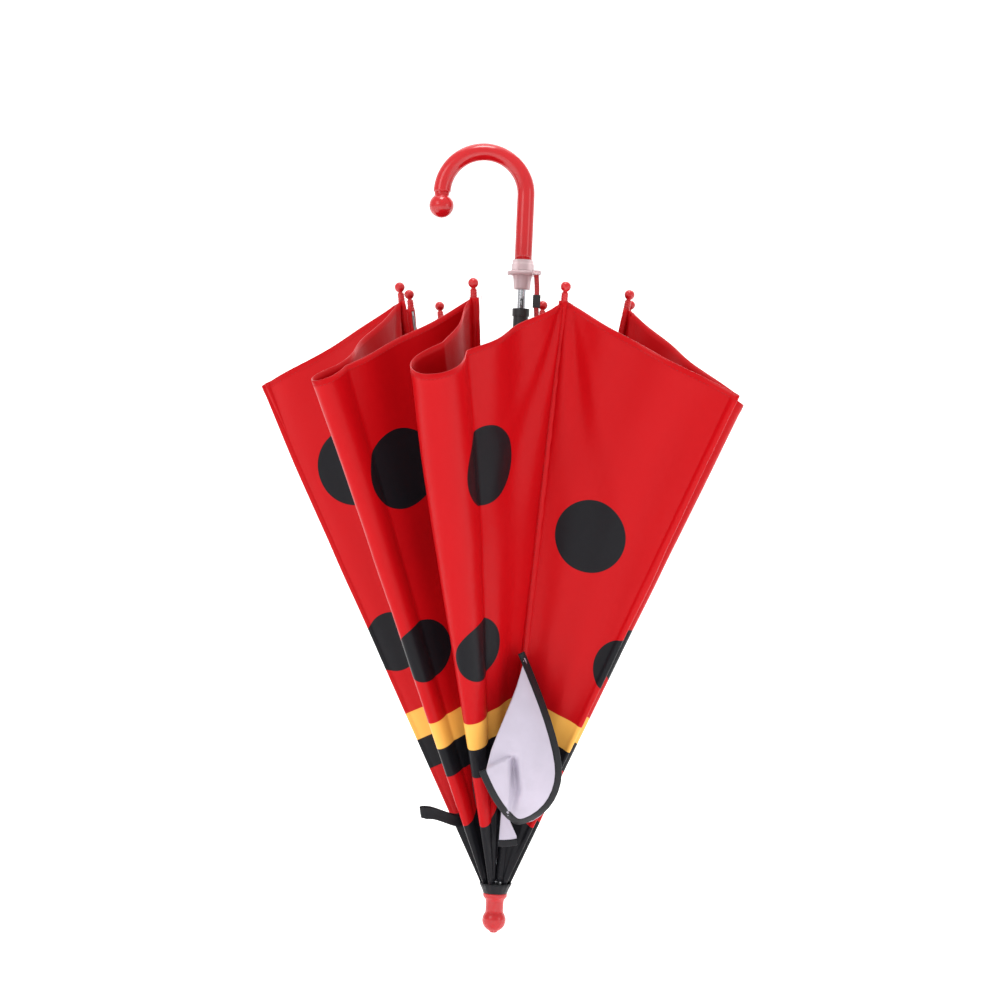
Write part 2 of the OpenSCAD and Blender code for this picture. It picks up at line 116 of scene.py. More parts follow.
class TrimSizes(bpy.types.PropertyGroup):
    """Eyes, antennae, bindings and thread"""

    binding_width: FloatProperty(
        name="Binding width", description="Width of the binding round an eye",
        default=5.6 * MM, unit="LENGTH")
    stitch_step: FloatProperty(
        name="Stitch step", description="Length from one stitch to the next",
        default=3.2 * MM, unit="LENGTH")
    strap_width: FloatProperty(
        name="Antenna width", description="Width of an antenna's strap",
        default=10.2 * MM, unit="LENGTH")
    white: FloatVectorProperty(
        name="White", description="White of the eyes' cloth", subtype="COLOR",
        default=(0.50, 0.46, 0.55), min=0, max=1)


class HardwareSizes(bpy.types.PropertyGroup):
    """Moulded parts"""

    round_steps: IntProperty(
        name="Round steps", description="Sides of a turned or swept part",
        default=64, min=24, max=128)
    red: FloatVectorProperty(
        name="Plastic red", description="Red of the moulded parts", subtype="COLOR",
        default=(0.54, 0.006, 0.010), min=0, max=1)


# --- Joints of the frame ----------------------------------------------------------


def hinge_turn(name, share=1.0):
    """Matrix that turns a joint's child from rest to its limit, or part of the way"""
    joint = JOINTS[name]
    angle = math.radians(joint["range_deg"][1]) * share
    place = Matrix.Translation(joint["pos_m"])
    turn = Matrix.Rotation(angle, 4, Vector(joint["axis"]))
    return np.array(place @ turn @ place.inverted())


def moved(matrix, points):
    return points @ matrix[:3, :3].T + matrix[:3, 3]


def unit(v):
    return v / np.linalg.norm(v)


class Rib:
    """One rib's pivot and directions at rest, and its matrix when open"""

    def __init__(self, number):
        swing = JOINTS[f"rib_{number}_swing"]
        self.number = number
        self.body = f"rib_{number}"
        self.pivot = np.array(swing["pos_m"])
        self.way = np.array(JOINTS[f"panel_{number}_left_fold"]["axis"])
        self.out = unit(np.cross(np.array(swing["axis"]), self.way))
        self.side = np.cross(self.way, self.out)
        self.open = hinge_turn(f"rib_{number}_swing")
        panel = frame["nodes"][f"panel_{number}_left"]
        reach = [(np.array(v.co) - self.pivot) @ self.way for v in panel.data.vertices]
        self.hem = max(reach)
        tip = np.array([v.co for v in frame["nodes"][f"rib_tip_{number}"].data.vertices])
        self.tip = max((tip - self.pivot) @ self.way)

    def place(self, side, out, along):
        """Point at distances across, outward and along the rib"""
        return self.pivot + side * self.side + out * self.out + along * self.way


def rib_after(number):
    return number % RIBS + 1


def smooth_step(t):
    t = np.clip(t, 0, 1)
    return t * t * (3 - 2 * t)


class Gore:
    """One gore of the canopy, drawn open and folded back to its rest shape"""

    def __init__(self, number, fold_width):
        self.number = number
        self.left, self.right = Rib(number), Rib(rib_after(number))
        self.fold_width = fold_width
        self.left_open = self.left.open @ hinge_turn(f"panel_{number}_left_fold")
        fold = JOINTS[f"panel_{number}_right_fold"]
        self.fold_point = np.array(fold["pos_m"])
        self.fold_axis = np.array(fold["axis"])
        self.fold_angle = math.radians(fold["range_deg"][1])
        a, b = self.hem_corner(self.left), self.hem_corner(self.right)
        self.head = (self.left.pivot + self.right.pivot) / 2
        self.head_half = np.linalg.norm(self.right.pivot - self.left.pivot) / 2
        self.hem_half = np.linalg.norm(b - a) / 2
        self.across = unit(b - a)
        chord = (a + b) / 2 - self.head
        chord -= (chord @ self.across) * self.across
        self.length = np.linalg.norm(chord)
        self.along = chord / self.length
        self.out = np.cross(self.along, self.across)
        if self.out @ UP > 0:
            self.out = -self.out
        crease = moved(self.left_open, self.fold_point[None])[0] - self.head
        self.crease_side = crease @ self.across
        self.crease_out = crease @ self.out

    def hem_corner(self, rib):
        return moved(rib.open, (rib.pivot + rib.hem * rib.way)[None])[0]

    def half(self, along):
        return self.head_half + (self.hem_half - self.head_half) * along / self.length

    def crease(self, along):
        return self.crease_side * along / self.length

    def fold_span(self, along):
        return np.minimum(self.fold_width * (0.3 + 0.7 * along / self.length),
            0.86 * self.half(along))

    def ridge(self, side, along):
        """How far the two flat halves stand out of the gore's plane"""
        half, crease = self.half(along), self.crease(along)
        left = (side + half) / np.maximum(crease + half, 1e-6)
        right = (half - side) / np.maximum(half - crease, 1e-6)
        tent = np.minimum(left, right)
        return self.crease_out * along / self.length * np.clip(tent, 0, 1)

    def billow(self, side, along, height):
        """Soft ripples that run from the crown to the hem and end at the seams"""
        share = along / self.length
        place = side / self.half(along)
        seed = self.number * 1.7
        ends = 1 - np.clip(np.abs(place), 0, 1) ** 6
        waves = (0.55 * np.sin(9.1 * place + seed + 1.3 * np.sin(3.1 * share + seed))
            + 0.35 * np.sin(17.3 * place - 2.1 * seed + 2.2 * share)
            + 0.30 * np.sin(5.3 * place + 4.0 * share * share + 0.6 * seed))
        sag = -1.4 * np.cos(math.pi / 2 * place) * share
        edge = 0.9 * smooth_step((share - 0.8) / 0.2) * np.sin(14 * place + 2.6 * seed)
        return height * ends * ((waves + edge) * (0.25 + 0.75 * share) + sag)

    def pleats(self, side, along, seam, height):
        """Small fan pleats that gather at the tip of a rib, on side -1 or 1"""
        gap = self.half(along) - seam * side
        reach = self.length - along + 16 * MM
        fan = gap / reach
        near = np.exp(-((fan / 0.42) ** 2)) * smooth_step(1.25 - reach / (230 * MM))
        return height * near * np.sin(15 * fan) * smooth_step(gap / (5 * MM))

    def open_point(self, side, along, lift):
        return (self.head + np.multiply.outer(side, self.across)
            + np.multiply.outer(along, self.along) + np.multiply.outer(lift, self.out))

    def share_right(self, points):
        """How far each open point follows the right half, from 0 to 1"""
        rel = points - self.head
        along = np.clip(rel @ self.along, 1e-4, None)
        span = self.fold_span(along)
        turn = np.clip((rel @ self.across - self.crease(along)) / span + 0.5, 0, 1)
        return 0.45 * smooth_step(turn) + 0.55 * turn

    def folded(self, points):
        """Open points at rest, and their shares"""
        share = self.share_right(points)
        back = moved(np.linalg.inv(self.left_open), points) - self.fold_point
        angle = -share * self.fold_angle
        c, s = np.cos(angle)[:, None], np.sin(angle)[:, None]
        axis = self.fold_axis
        turned = (back * c + np.cross(axis, back) * s
            + axis * (back @ axis)[:, None] * (1 - c))
        return turned + self.fold_point, share


# --- Mesh helpers -----------------------------------------------------------------


def belong(obj, body, slot, *nodes):
    """The piece rides a body and stands for some CAD nodes, which are hidden; slot is not used"""
    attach(obj, body)
    if nodes:
        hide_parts(*nodes)


def mesh_object(name, points, faces, material, uv=None):
    mesh = bpy.data.meshes.new(name)
    mesh.from_pydata([tuple(map(float, p)) for p in points], [], faces)
    mesh.update()
    mesh.polygons.foreach_set("use_smooth", [True] * len(mesh.polygons))
    if uv is not None:
        layer = mesh.uv_layers.new(name="cut")
        loops = np.zeros(len(mesh.loops), int)
        mesh.loops.foreach_get("vertex_index", loops)
        layer.data.foreach_set("uv", np.asarray(uv, float)[loops].ravel())
    mesh.materials.append(material)
    obj = bpy.data.objects.new(name, mesh)
    bpy.context.scene.collection.objects.link(obj)
    return obj


def grid_faces(rows, columns, start=0, close_rows=False, close_columns=False):
    faces = []
    for r in range(rows if close_rows else rows - 1):
        for c in range(columns if close_columns else columns - 1):
            r2, c2 = (r + 1) % rows, (c + 1) % columns
            faces.append((start + r * columns + c, start + r * columns + c2,
                start + r2 * columns + c2, start + r2 * columns + c))
    return faces


def two_sided(rows, columns):
    """Faces of a closed sheet: a grid, its twin reversed, and the rim between them"""
    n = rows * columns
    faces = grid_faces(rows, columns)
    faces += [tuple(n + i for i in reversed(f)) for f in faces]
    rim = ([c for c in range(columns)]
        + [r * columns + columns - 1 for r in range(1, rows)]
        + [(rows - 1) * columns + c for c in range(columns - 2, -1, -1)]
        + [r * columns for r in range(rows - 2, 0, -1)])
    for a, b in zip(rim, rim[1:] + rim[:1]):
        faces.append((b, a, n + a, n + b))
    return faces


def outward(obj):
    """Turns a closed mesh's faces outwards"""
    bm = bmesh.new()
    bm.from_mesh(obj.data)
    bmesh.ops.recalc_face_normals(bm, faces=bm.faces)
    bm.to_mesh(obj.data)
    bm.free()
    return obj


def sheet_object(name, surface, thickness, material, uv=None):
    """Closed thin sheet round a grid of points, rows by columns by 3"""
    rows, columns = surface.shape[:2]
    normal = np.cross(np.gradient(surface, axis=1), np.gradient(surface, axis=0))
    normal /= np.maximum(np.linalg.norm(normal, axis=2, keepdims=True), 1e-9)
    half = np.broadcast_to(np.asarray(thickness) / 2, surface.shape[:2])[..., None]
    points = np.concatenate([(surface + half * normal).reshape(-1, 3),
        (surface - half * normal).reshape(-1, 3)])
    both = None if uv is None else np.concatenate([uv.reshape(-1, 2)] * 2)
    return outward(mesh_object(name, points, two_sided(rows, columns), material, uv=both))


def turned_part(name, profile, place, material, steps, side=None, out=None, way=UP):
    """Closed part turned round an axis: profile is (radius, height) from foot to head"""
    side = np.array([1.0, 0, 0]) if side is None else side
    out = np.cross(way, side) if out is None else out
    profile = np.array(profile, float)
    closed = profile[0][0] > 1e-7  # a ring, with no points on the axis
    angles = np.arange(steps) * 2 * math.pi / steps
    body = profile if closed else profile[1:-1]
    rings = [place + h * way + r * (math.cos(a) * side + math.sin(a) * out)
        for r, h in body for a in angles]
    faces = grid_faces(len(body), steps, close_rows=closed, close_columns=True)
    if not closed:
        foot, head = len(rings), len(rings) + 1
        rings += [place + profile[0][1] * way, place + profile[-1][1] * way]
        last = (len(body) - 1) * steps
        for i in range(steps):
            j = (i + 1) % steps
            faces.append((foot, j, i))
            faces.append((head, last + i, last + j))
    return outward(mesh_object(name, rings, faces, material))


def rounded(profile, radius, steps=5):
    """Profile with its inner corners rounded by short arcs"""
    points = [np.array(profile[0], float)]
    for a, b, c in zip(profile, profile[1:], profile[2:]):
        a, b, c = (np.array(p, float) for p in (a, b, c))
        cut = min(radius, np.linalg.norm(a - b) * 0.45, np.linalg.norm(c - b) * 0.45)
        start, end = b + cut * unit(a - b), b + cut * unit(c - b)
        for t in np.linspace(0, 1, steps):
            points.append((1 - t) ** 2 * start + 2 * t * (1 - t) * b + t * t * end)
    points.append(np.array(profile[-1], float))
    return points


def swept_part(name, path, section, material):
    """Closed part: section(i) gives the ring of points at each point of the path"""
    rings = [section(i) for i in range(len(path))]
    count = len(rings[0])
    points = [p for ring in rings for p in ring]
    faces = grid_faces(len(rings), count, close_columns=True)
    faces.append(tuple(range(count - 1, -1, -1)))
    faces.append(tuple((len(rings) - 1) * count + i for i in range(count)))
    return outward(mesh_object(name, points, faces, material))


def flat_tape(name, path, inward, normal, width, thickness, material):
    """Tape with rounded edges along a path, lying in the plane of inward and path"""
    angles = np.arange(16) * 2 * math.pi / 16

    def section(i):
        return [path[i] + inward[i] * (width / 2) * np.sign(math.cos(a))
            * abs(math.cos(a)) ** 0.5 + normal[i] * (thickness / 2) * math.sin(a)
            for a in angles]

    return swept_part(name, path, section, material)


def curve_points(points, count):
    """A smooth line through a few points"""
    points = np.array(points, float)
    at = np.linspace(0, len(points) - 1, count)
    padded = np.vstack([2 * points[0] - points[1], points, 2 * points[-1] - points[-2]])
    result = []
    for t in at:
        i = min(int(t), len(points) - 2)
        f = t - i
        a, b, c, d = padded[i:i + 4]
        result.append(0.5 * (2 * b + (c - a) * f + (2 * a - 5 * b + 4 * c - d) * f ** 2
            + (3 * b - a - 3 * c + d) * f ** 3))
    return np.array(result)


def stitch_tree():
    """Geometry Nodes: a run of thread stitches along a curve"""
    tree = bpy.data.node_groups.get("thread_stitches")
    if tree:
        return tree
    tree = bpy.data.node_groups.new("thread_stitches", "GeometryNodeTree")
    face = tree.interface
    face.new_socket("Line", in_out="INPUT", socket_type="NodeSocketGeometry")
    for label, value in (("Step", 3.2 * MM), ("Length", 2.3 * MM), ("Thickness", 0.5 * MM)):
        face.new_socket(label, in_out="INPUT", socket_type="NodeSocketFloat").default_value = value
    face.new_socket("Thread", in_out="INPUT", socket_type="NodeSocketMaterial")
    face.new_socket("Stitches", in_out="OUTPUT", socket_type="NodeSocketGeometry")
    add, link = tree.nodes.new, tree.links.new
    start, end = add("NodeGroupInput"), add("NodeGroupOutput")
    points = add("GeometryNodeCurveToPoints")
    points.mode = "LENGTH"
    link(start.outputs["Line"], points.inputs["Curve"])
    link(start.outputs["Step"], points.inputs["Length"])
    bead = add("GeometryNodeMeshUVSphere")
    bead.inputs["Segments"].default_value = 6
    bead.inputs["Rings"].default_value = 4
    bead.inputs["Radius"].default_value = 0.5
    size = add("ShaderNodeCombineXYZ")
    for axis, label in (("X", "Thickness"), ("Y", "Thickness"), ("Z", "Length")):
        link(start.outputs[label], size.inputs[axis])
    put = add("GeometryNodeInstanceOnPoints")
    link(points.outputs["Points"], put.inputs["Points"])
    link(points.outputs["Rotation"], put.inputs["Rotation"])
    link(bead.outputs["Mesh"], put.inputs["Instance"])
    link(size.outputs["Vector"], put.inputs["Scale"])
    real = add("GeometryNodeRealizeInstances")
    link(put.outputs["Instances"], real.inputs["Geometry"])
    paint = add("GeometryNodeSetMaterial")
    link(real.outputs["Geometry"], paint.inputs["Geometry"])
    link(start.outputs["Thread"], paint.inputs["Material"])
    link(paint.outputs["Geometry"], end.inputs["Stitches"])
    return tree


def line_object(name, line):
    """Curve object with straight runs between the points"""
    curve = bpy.data.curves.new(name, "CURVE")
    curve.dimensions = "3D"
    spline = curve.splines.new("POLY")
    spline.points.add(len(line) - 1)
    for point, p in zip(spline.points, line):
        point.co = (*p, 1)
    obj = bpy.data.objects.new(name, curve)
    bpy.context.scene.collection.objects.link(obj)
    return obj


def stitches(name, line, thread, step, length=2.3 * MM, thickness=0.5 * MM):
    """A plain mesh of stitches along a line of points"""
    holder = line_object(name + "_line", line)
    tree = stitch_tree()
    modifier = holder.modifiers.new("stitches", "NODES")
    modifier.node_group = tree
    sockets = {i.name: i.identifier for i in tree.interface.items_tree if i.in_out == "INPUT"}
    for label, value in (("Step", step), ("Length", length), ("Thickness", thickness),
            ("Thread", thread)):
        modifier[sockets[label]] = value
    shown = holder.evaluated_get(bpy.context.evaluated_depsgraph_get())
    mesh = bpy.data.meshes.new_from_object(shown)
    holder.modifiers.remove(modifier)
    curve = holder.data
    bpy.data.objects.remove(holder)
    bpy.data.curves.remove(curve)
    mesh.name = name
    obj = bpy.data.objects.new(name, mesh)
    bpy.context.scene.collection.objects.link(obj)
    return obj


# --- Materials --------------------------------------------------------------------


def tints(colour, low, high):
    """A darker and a lighter tone of a colour"""
    return tuple(low * c for c in colour), tuple(min(1, high * c) for c in colour)


class Paint:
    """A material's node tree, with short calls for the nodes that it needs"""

    def __init__(self, name, colour, roughness, metallic=0.0):
        self.material = bpy.data.materials.new(name)
        self.material.use_nodes = True
        self.nodes = self.material.node_tree.nodes
        self.links = self.material.node_tree.links
        self.shader = self.nodes["Principled BSDF"]
        self.set("Base Color", (*colour, 1))
        self.set("Roughness", roughness)
        self.set("Metallic", metallic)
        self.bumps = []

    def set(self, socket, value):
        self.shader.inputs[socket].default_value = value

    def node(self, kind, **inputs):
        node = self.nodes.new(kind)
        for key, value in inputs.items():
            self.feed(value, node.inputs[key.replace("_", " ")])
        return node

    def feed(self, value, socket):
        if isinstance(value, bpy.types.NodeSocket):
            self.links.new(value, socket)
        else:
            socket.default_value = value

    def math(self, operation, a, b=0.0, clamp=False):
        node = self.nodes.new("ShaderNodeMath")
        node.operation, node.use_clamp = operation, clamp
        self.feed(a, node.inputs[0])
        self.feed(b, node.inputs[1])
        return node.outputs[0]

    def mix(self, share, a, b):
        node = self.nodes.new("ShaderNodeMix")
        node.data_type = "RGBA"
        self.feed(share, node.inputs["Factor"])
        for value, socket in ((a, node.inputs[6]), (b, node.inputs[7])):
            self.feed(value if isinstance(value, bpy.types.NodeSocket) else (*value, 1), socket)
        return node.outputs[2]

    def soft_over(self, value, edge, softness):
        """0 below the edge and 1 above it"""
        shifted = self.math("SUBTRACT", value, edge)
        return self.math("ADD", self.math("DIVIDE", shifted, softness), 0.5, clamp=True)

    def place(self):
        return self.nodes.new("ShaderNodeTexCoord").outputs["Object"]

    def noise(self, vector, scale, detail=3.0, roughness=0.5):
        node = self.node("ShaderNodeTexNoise", Vector=vector, Scale=scale, Detail=detail,
            Roughness=roughness)
        return node.outputs["Fac"]

    def stretched(self, vector, scale):
        node = self.node("ShaderNodeMapping", Vector=vector, Scale=scale)
        return node.outputs["Vector"]

    def bump(self, height, strength, distance):
        node = self.node("ShaderNodeBump", Height=height, Strength=strength, Distance=distance)
        if self.bumps:
            self.links.new(self.bumps[-1], node.inputs["Normal"])
        self.bumps.append(node.outputs["Normal"])
        self.links.new(node.outputs["Normal"], self.shader.inputs["Normal"])

    def vary_roughness(self, value, low, high):
        node = self.node("ShaderNodeMapRange", Value=value)
        node.inputs["To Min"].default_value = low
        node.inputs["To Max"].default_value = high
        self.links.new(node.outputs["Result"], self.shader.inputs["Roughness"])


def weave(paint, vector, threads_per_m, depth):
    """Fine crossing threads over a vector in metres"""
    split = paint.node("ShaderNodeSeparateXYZ", Vector=vector)
    turn = 2 * math.pi * threads_per_m
    across = paint.math("SINE", paint.math("MULTIPLY", split.outputs["X"], turn))
    along = paint.math("SINE", paint.math("MULTIPLY", split.outputs["Y"], turn))
    paint.bump(paint.math("MULTIPLY", across, along), 0.25, depth)


def cut_map(paint):
    node = paint.nodes.new("ShaderNodeUVMap")
    node.uv_map = "cut"
    return node.outputs["UV"]


DOTS = ((-53, 292, 28.5), (44, 350, 31), (14, 209, 24))  # across, from the crown, radius (mm)


def canopy_paint(sizes):
    """Printed satin: the print is laid out in metres on the gore's flat cut"""
    red, black, yellow = (tuple(c) for c in (sizes.red, sizes.black, sizes.yellow))
    paint = Paint("canopy_satin", red, 0.4)
    cut = cut_map(paint)
    split = paint.node("ShaderNodeSeparateXYZ", Vector=cut)
    side, along = split.outputs["X"], split.outputs["Y"]
    wobble = paint.noise(paint.stretched(cut, (9, 9, 1)), 1.0, 2.0)
    edge = paint.math("ADD", along, paint.math("MULTIPLY",
        paint.math("SUBTRACT", wobble, 0.5), 3 * MM))
    soft = 0.4 * MM
    shade = paint.noise(paint.stretched(cut, (14, 3, 1)), 1.0, 3.0)
    field = paint.mix(shade, *tints(red, 0.88, 1.1))
    colour = field
    for dot_side, dot_along, radius in DOTS:
        across = paint.math("SUBTRACT", side, dot_side * MM)
        down = paint.math("SUBTRACT", along, dot_along * MM)
        gap = paint.math("SQRT", paint.math("ADD", paint.math("MULTIPLY", across, across),
            paint.math("MULTIPLY", down, down)))
        colour = paint.mix(paint.soft_over(gap, radius * MM, soft), black, colour)
    colour = paint.mix(paint.soft_over(edge, sizes.yellow_end, soft), yellow, colour)
    colour = paint.mix(paint.soft_over(edge, sizes.yellow_start, soft), black, colour)
    cheek_half, cheek_height = 23 * MM, 45 * MM  # red patch in the black crown
    x = paint.math("DIVIDE", side, cheek_half)
    y = paint.math("DIVIDE", paint.math("SUBTRACT", sizes.crown_edge, along), cheek_height)
    oval = paint.math("ADD", paint.math("MULTIPLY", x, x), paint.math("MULTIPLY", y, y))
    inside = paint.math("SUBTRACT", 1.0, paint.soft_over(oval, 1.0, 0.02), clamp=True)
    below = paint.math("SUBTRACT", 1.0, paint.soft_over(along, sizes.crown_edge, soft), clamp=True)
    colour = paint.mix(paint.math("MULTIPLY", inside, below), colour, field)
    paint.feed(colour, paint.shader.inputs["Base Color"])
    paint.set("Specular IOR Level", 0.12)
    paint.set("Anisotropic", 0.3)
    paint.vary_roughness(paint.noise(paint.stretched(cut, (30, 6, 1)), 1.0), 0.26, 0.40)
    paint.bump(paint.noise(paint.stretched(cut, (26, 7, 1)), 1.0, 4.0, 0.55), 0.5, 1.2 * MM)
    paint.bump(paint.noise(paint.stretched(cut, (90, 34, 1)), 1.0, 4.0, 0.6), 0.35, 0.5 * MM)
    weave(paint, cut, 1400, 0.05 * MM)
    return paint.material


def plain_cloth(name, colour, roughness=0.55, threads_per_m=1300):
    paint = Paint(name, colour, roughness)
    place = paint.place()
    shade = paint.noise(place, 55, 4.0)
    tone = paint.mix(shade, *tints(colour, 0.86, 1.08))
    paint.feed(tone, paint.shader.inputs["Base Color"])
    paint.set("Sheen Weight", 0.05)
    paint.set("Sheen Roughness", 0.4)
    paint.set("Specular IOR Level", 0.22)
    paint.vary_roughness(shade, roughness - 0.06, roughness + 0.08)
    paint.bump(paint.noise(place, 70, 4.0), 0.45, 0.8 * MM)
    weave(paint, place, threads_per_m, 0.06 * MM)
    return paint.material


def moulded_plastic(name, colour, roughness, coat=0.0, clear=0.0):
    paint = Paint(name, colour, roughness)
    place = paint.place()
    cloud = paint.noise(place, 38, 3.0)
    tone = paint.mix(cloud, *tints(colour, 0.93, 1.05))
    paint.feed(tone, paint.shader.inputs["Base Color"])
    paint.set("Coat Weight", coat)
    paint.set("Coat Roughness", 0.08)
    paint.set("IOR", 1.49)
    paint.set("Transmission Weight", clear)
    scuffs = paint.noise(paint.stretched(place, (90, 90, 25)), 1.0, 5.0, 0.6)
    paint.vary_roughness(scuffs, max(0.03, roughness - 0.05), roughness + 0.09)
    paint.bump(paint.noise(place, 210, 2.0), 0.12, 0.15 * MM)
    return paint.material


def drawn_steel(name, colour, roughness, streak):
    """Steel with fine marks along the shaft's way"""
    paint = Paint(name, colour, roughness, metallic=1.0)
    place = paint.place()
    marks = paint.noise(paint.stretched(place, (900, 900, 14)), 1.0, 3.0, 0.6)
    paint.vary_roughness(marks, roughness, roughness + streak)
    tone = paint.mix(paint.noise(place, 60), *tints(colour, 0.85, 1))
    paint.feed(tone, paint.shader.inputs["Base Color"])
    paint.bump(marks, 0.1, 0.03 * MM)
    return paint.material


def braided_cord(name, colour):
    paint = Paint(name, colour, 0.6)
    split = paint.node("ShaderNodeSeparateXYZ", Vector=paint.place())
    waves = []
    for slope in (1, -1):
        run = paint.math("ADD", paint.math("MULTIPLY", split.outputs["Z"], 2600),
            paint.math("MULTIPLY", split.outputs["X"], 1900 * slope))
        waves.append(paint.math("SINE", run))
    braid_and_groove_shade = paint.math("MAXIMUM", waves[0], waves[1])
    # painted shade: the base colour is darkened in the braid's grooves, between the strands
    tone = paint.mix(paint.math("ADD", paint.math("MULTIPLY", braid_and_groove_shade, 0.5), 0.5, clamp=True),
        *tints(colour, 0.55, 1))
    paint.feed(tone, paint.shader.inputs["Base Color"])
    paint.set("Sheen Weight", 0.4)
    paint.bump(braid_and_groove_shade, 0.6, 0.3 * MM)
    return paint.material


MATERIALS = {}


def material(name):
    """Each finish is made once, when it is first asked for"""
    scene = bpy.context.scene
    canopy, trim, hardware = scene.canopy_sizes, scene.trim_sizes, scene.hardware_sizes
    red_plastic = tuple(hardware.red)
    makers = {
        "canopy_satin": lambda: canopy_paint(canopy),
        "eye_cloth": lambda: plain_cloth("eye_cloth", tuple(trim.white), 0.6),
        "black_tape": lambda: plain_cloth("black_tape", (0.009, 0.0095, 0.012), 0.5, 900),
        "apex_cloth": lambda: plain_cloth("apex_cloth", tuple(canopy.black), 0.36),
        "red_thread": lambda: plain_cloth("red_thread", (0.42, 0.006, 0.01), 0.6),
        "black_thread": lambda: plain_cloth("black_thread", (0.012, 0.012, 0.014), 0.6),
        "red_plastic": lambda: moulded_plastic("red_plastic", red_plastic, 0.18, coat=0.25),
        "tip_plastic": lambda: moulded_plastic("tip_plastic", red_plastic, 0.26, coat=0.1),
        "black_plastic": lambda: moulded_plastic("black_plastic", (0.016, 0.016, 0.018), 0.38),
        "clear_plastic": lambda: moulded_plastic(
            "clear_plastic", (0.93, 0.74, 0.76), 0.3, clear=0.55),
        "shaft_chrome": lambda: drawn_steel("shaft_chrome", (0.55, 0.56, 0.59), 0.16, 0.12),
        "rib_steel": lambda: drawn_steel("rib_steel", (0.58, 0.59, 0.61), 0.28, 0.2),
        "spring_steel": lambda: drawn_steel("spring_steel", (0.45, 0.46, 0.48), 0.32, 0.2),
        "red_cord": lambda: braided_cord("red_cord", (0.5, 0.008, 0.014)),
    }
    if name not in MATERIALS:
        MATERIALS[name] = makers[name]()
    return MATERIALS[name]


# --- Canopy -----------------------------------------------------------------------

# each gore's fold, as a multiple of the fold width
FOLD_WIDTHS = {1: 1.3, 2: 1.1, 3: 1.4, 4: 0.9, 5: 3.6, 6: 7.0, 7: 0.9, 8: 2.8}
ROWS, COLUMNS = 84, 121
PLEATED = ((-1, (7, 5, 8)), (1, (6, 4, 7)))  # seam side, and the gores with pleats there
PLEAT_HEIGHT = 2.4 * MM
CLOTH_OVER_RIB = 1.2 * MM
CROWN_GAP = 5 * MM  # a gore starts this far along its ribs
SEAM_SIDE_GAP = 1.8 * MM


def gore_of(number):
    sizes = bpy.context.scene.canopy_sizes
    return Gore(number, FOLD_WIDTHS[number] * sizes.fold_width)


def gore_heights(gore, side, along):
    sizes = bpy.context.scene.canopy_sizes
    lift = gore.ridge(side, along) + gore.billow(side, along, sizes.ripple)
    for seam, numbers in PLEATED:
        if gore.number in numbers:
            lift = lift + gore.pleats(side, along, seam, PLEAT_HEIGHT)
    return lift + CLOTH_OVER_RIB


def hem_reach(gore, place):
    """Length from the crown to the hem, drawn in a little between the ribs"""
    rise = bpy.context.scene.canopy_sizes.hem_rise
    return gore.length - rise * (1 - np.abs(place) ** 2.4)


def build_gore(number):
    sizes = bpy.context.scene.canopy_sizes
    gore = gore_of(number)
    crease = gore.crease_side / gore.hem_half
    width = gore.fold_width / gore.hem_half
    if width < 0.5:
        # a third of the columns lie where the cloth turns round its fold
        place = np.interp(np.linspace(0, 1, COLUMNS), [0, 0.34, 0.66, 1],
            [-1, crease - 0.62 * width, crease + 0.62 * width, 1])
    else:
        place = np.linspace(-1, 1, COLUMNS)
    share = np.linspace(0, 1, ROWS)
    reach = hem_reach(gore, place)
    along = CROWN_GAP + np.outer(share, reach - CROWN_GAP)
    half = np.maximum(gore.half(along) - SEAM_SIDE_GAP, 0.5 * MM)
    side = place[None, :] * half
    lift = gore_heights(gore, side, along)
    to_hem = reach[None, :] - along
    hem = smooth_step((sizes.hem_width - to_hem) / (0.8 * MM) + 0.5)
    thick = sizes.cloth_thickness * (1 + 1.2 * hem)
    layers = [gore.open_point(side, along, lift + sign * thick / 2).reshape(-1, 3)
        for sign in (1, -1)]
    points, weights = gore.folded(np.concatenate(layers))
    uv = np.stack([side, along], axis=2).reshape(-1, 2)
    obj = mesh_object(f"Gore_{number}", points, two_sided(ROWS, COLUMNS),
        material("canopy_satin"), uv=np.concatenate([uv, uv]))
    outward(obj)
    blend_gore(obj, gore, weights)
    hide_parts(f"panel_{number}_left", f"panel_{number}_right")
    return obj


def blend_gore(obj, gore, weights):
    """Bakes the piece's placement into its mesh"""
    corners = [rib.pivot + rib.hem * rib.way for rib in (gore.left, gore.right)]
    tuple(corners[0])
    tuple(corners[1])
    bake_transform(obj)


def build_hem_stitches(number):
    """Thread near the hem, drawn on the open gore and folded with it"""
    gore = gore_of(number)
    trim = bpy.context.scene.trim_sizes
    place = np.linspace(-0.985, 0.985, 160)
    along = hem_reach(gore, place) - 4.2 * MM
    side = place * gore.half(along)
    line = gore.open_point(side, along, gore_heights(gore, side, along) + 0.5 * MM)
    obj = stitches(f"Hem_stitches_{number}", line, material("red_thread"), trim.stitch_step)
    points = np.array([v.co for v in obj.data.vertices])
    rest, weights = gore.folded(points)
    obj.data.vertices.foreach_set("co", rest.ravel())
    obj.data.update()
    blend_gore(obj, gore, weights)


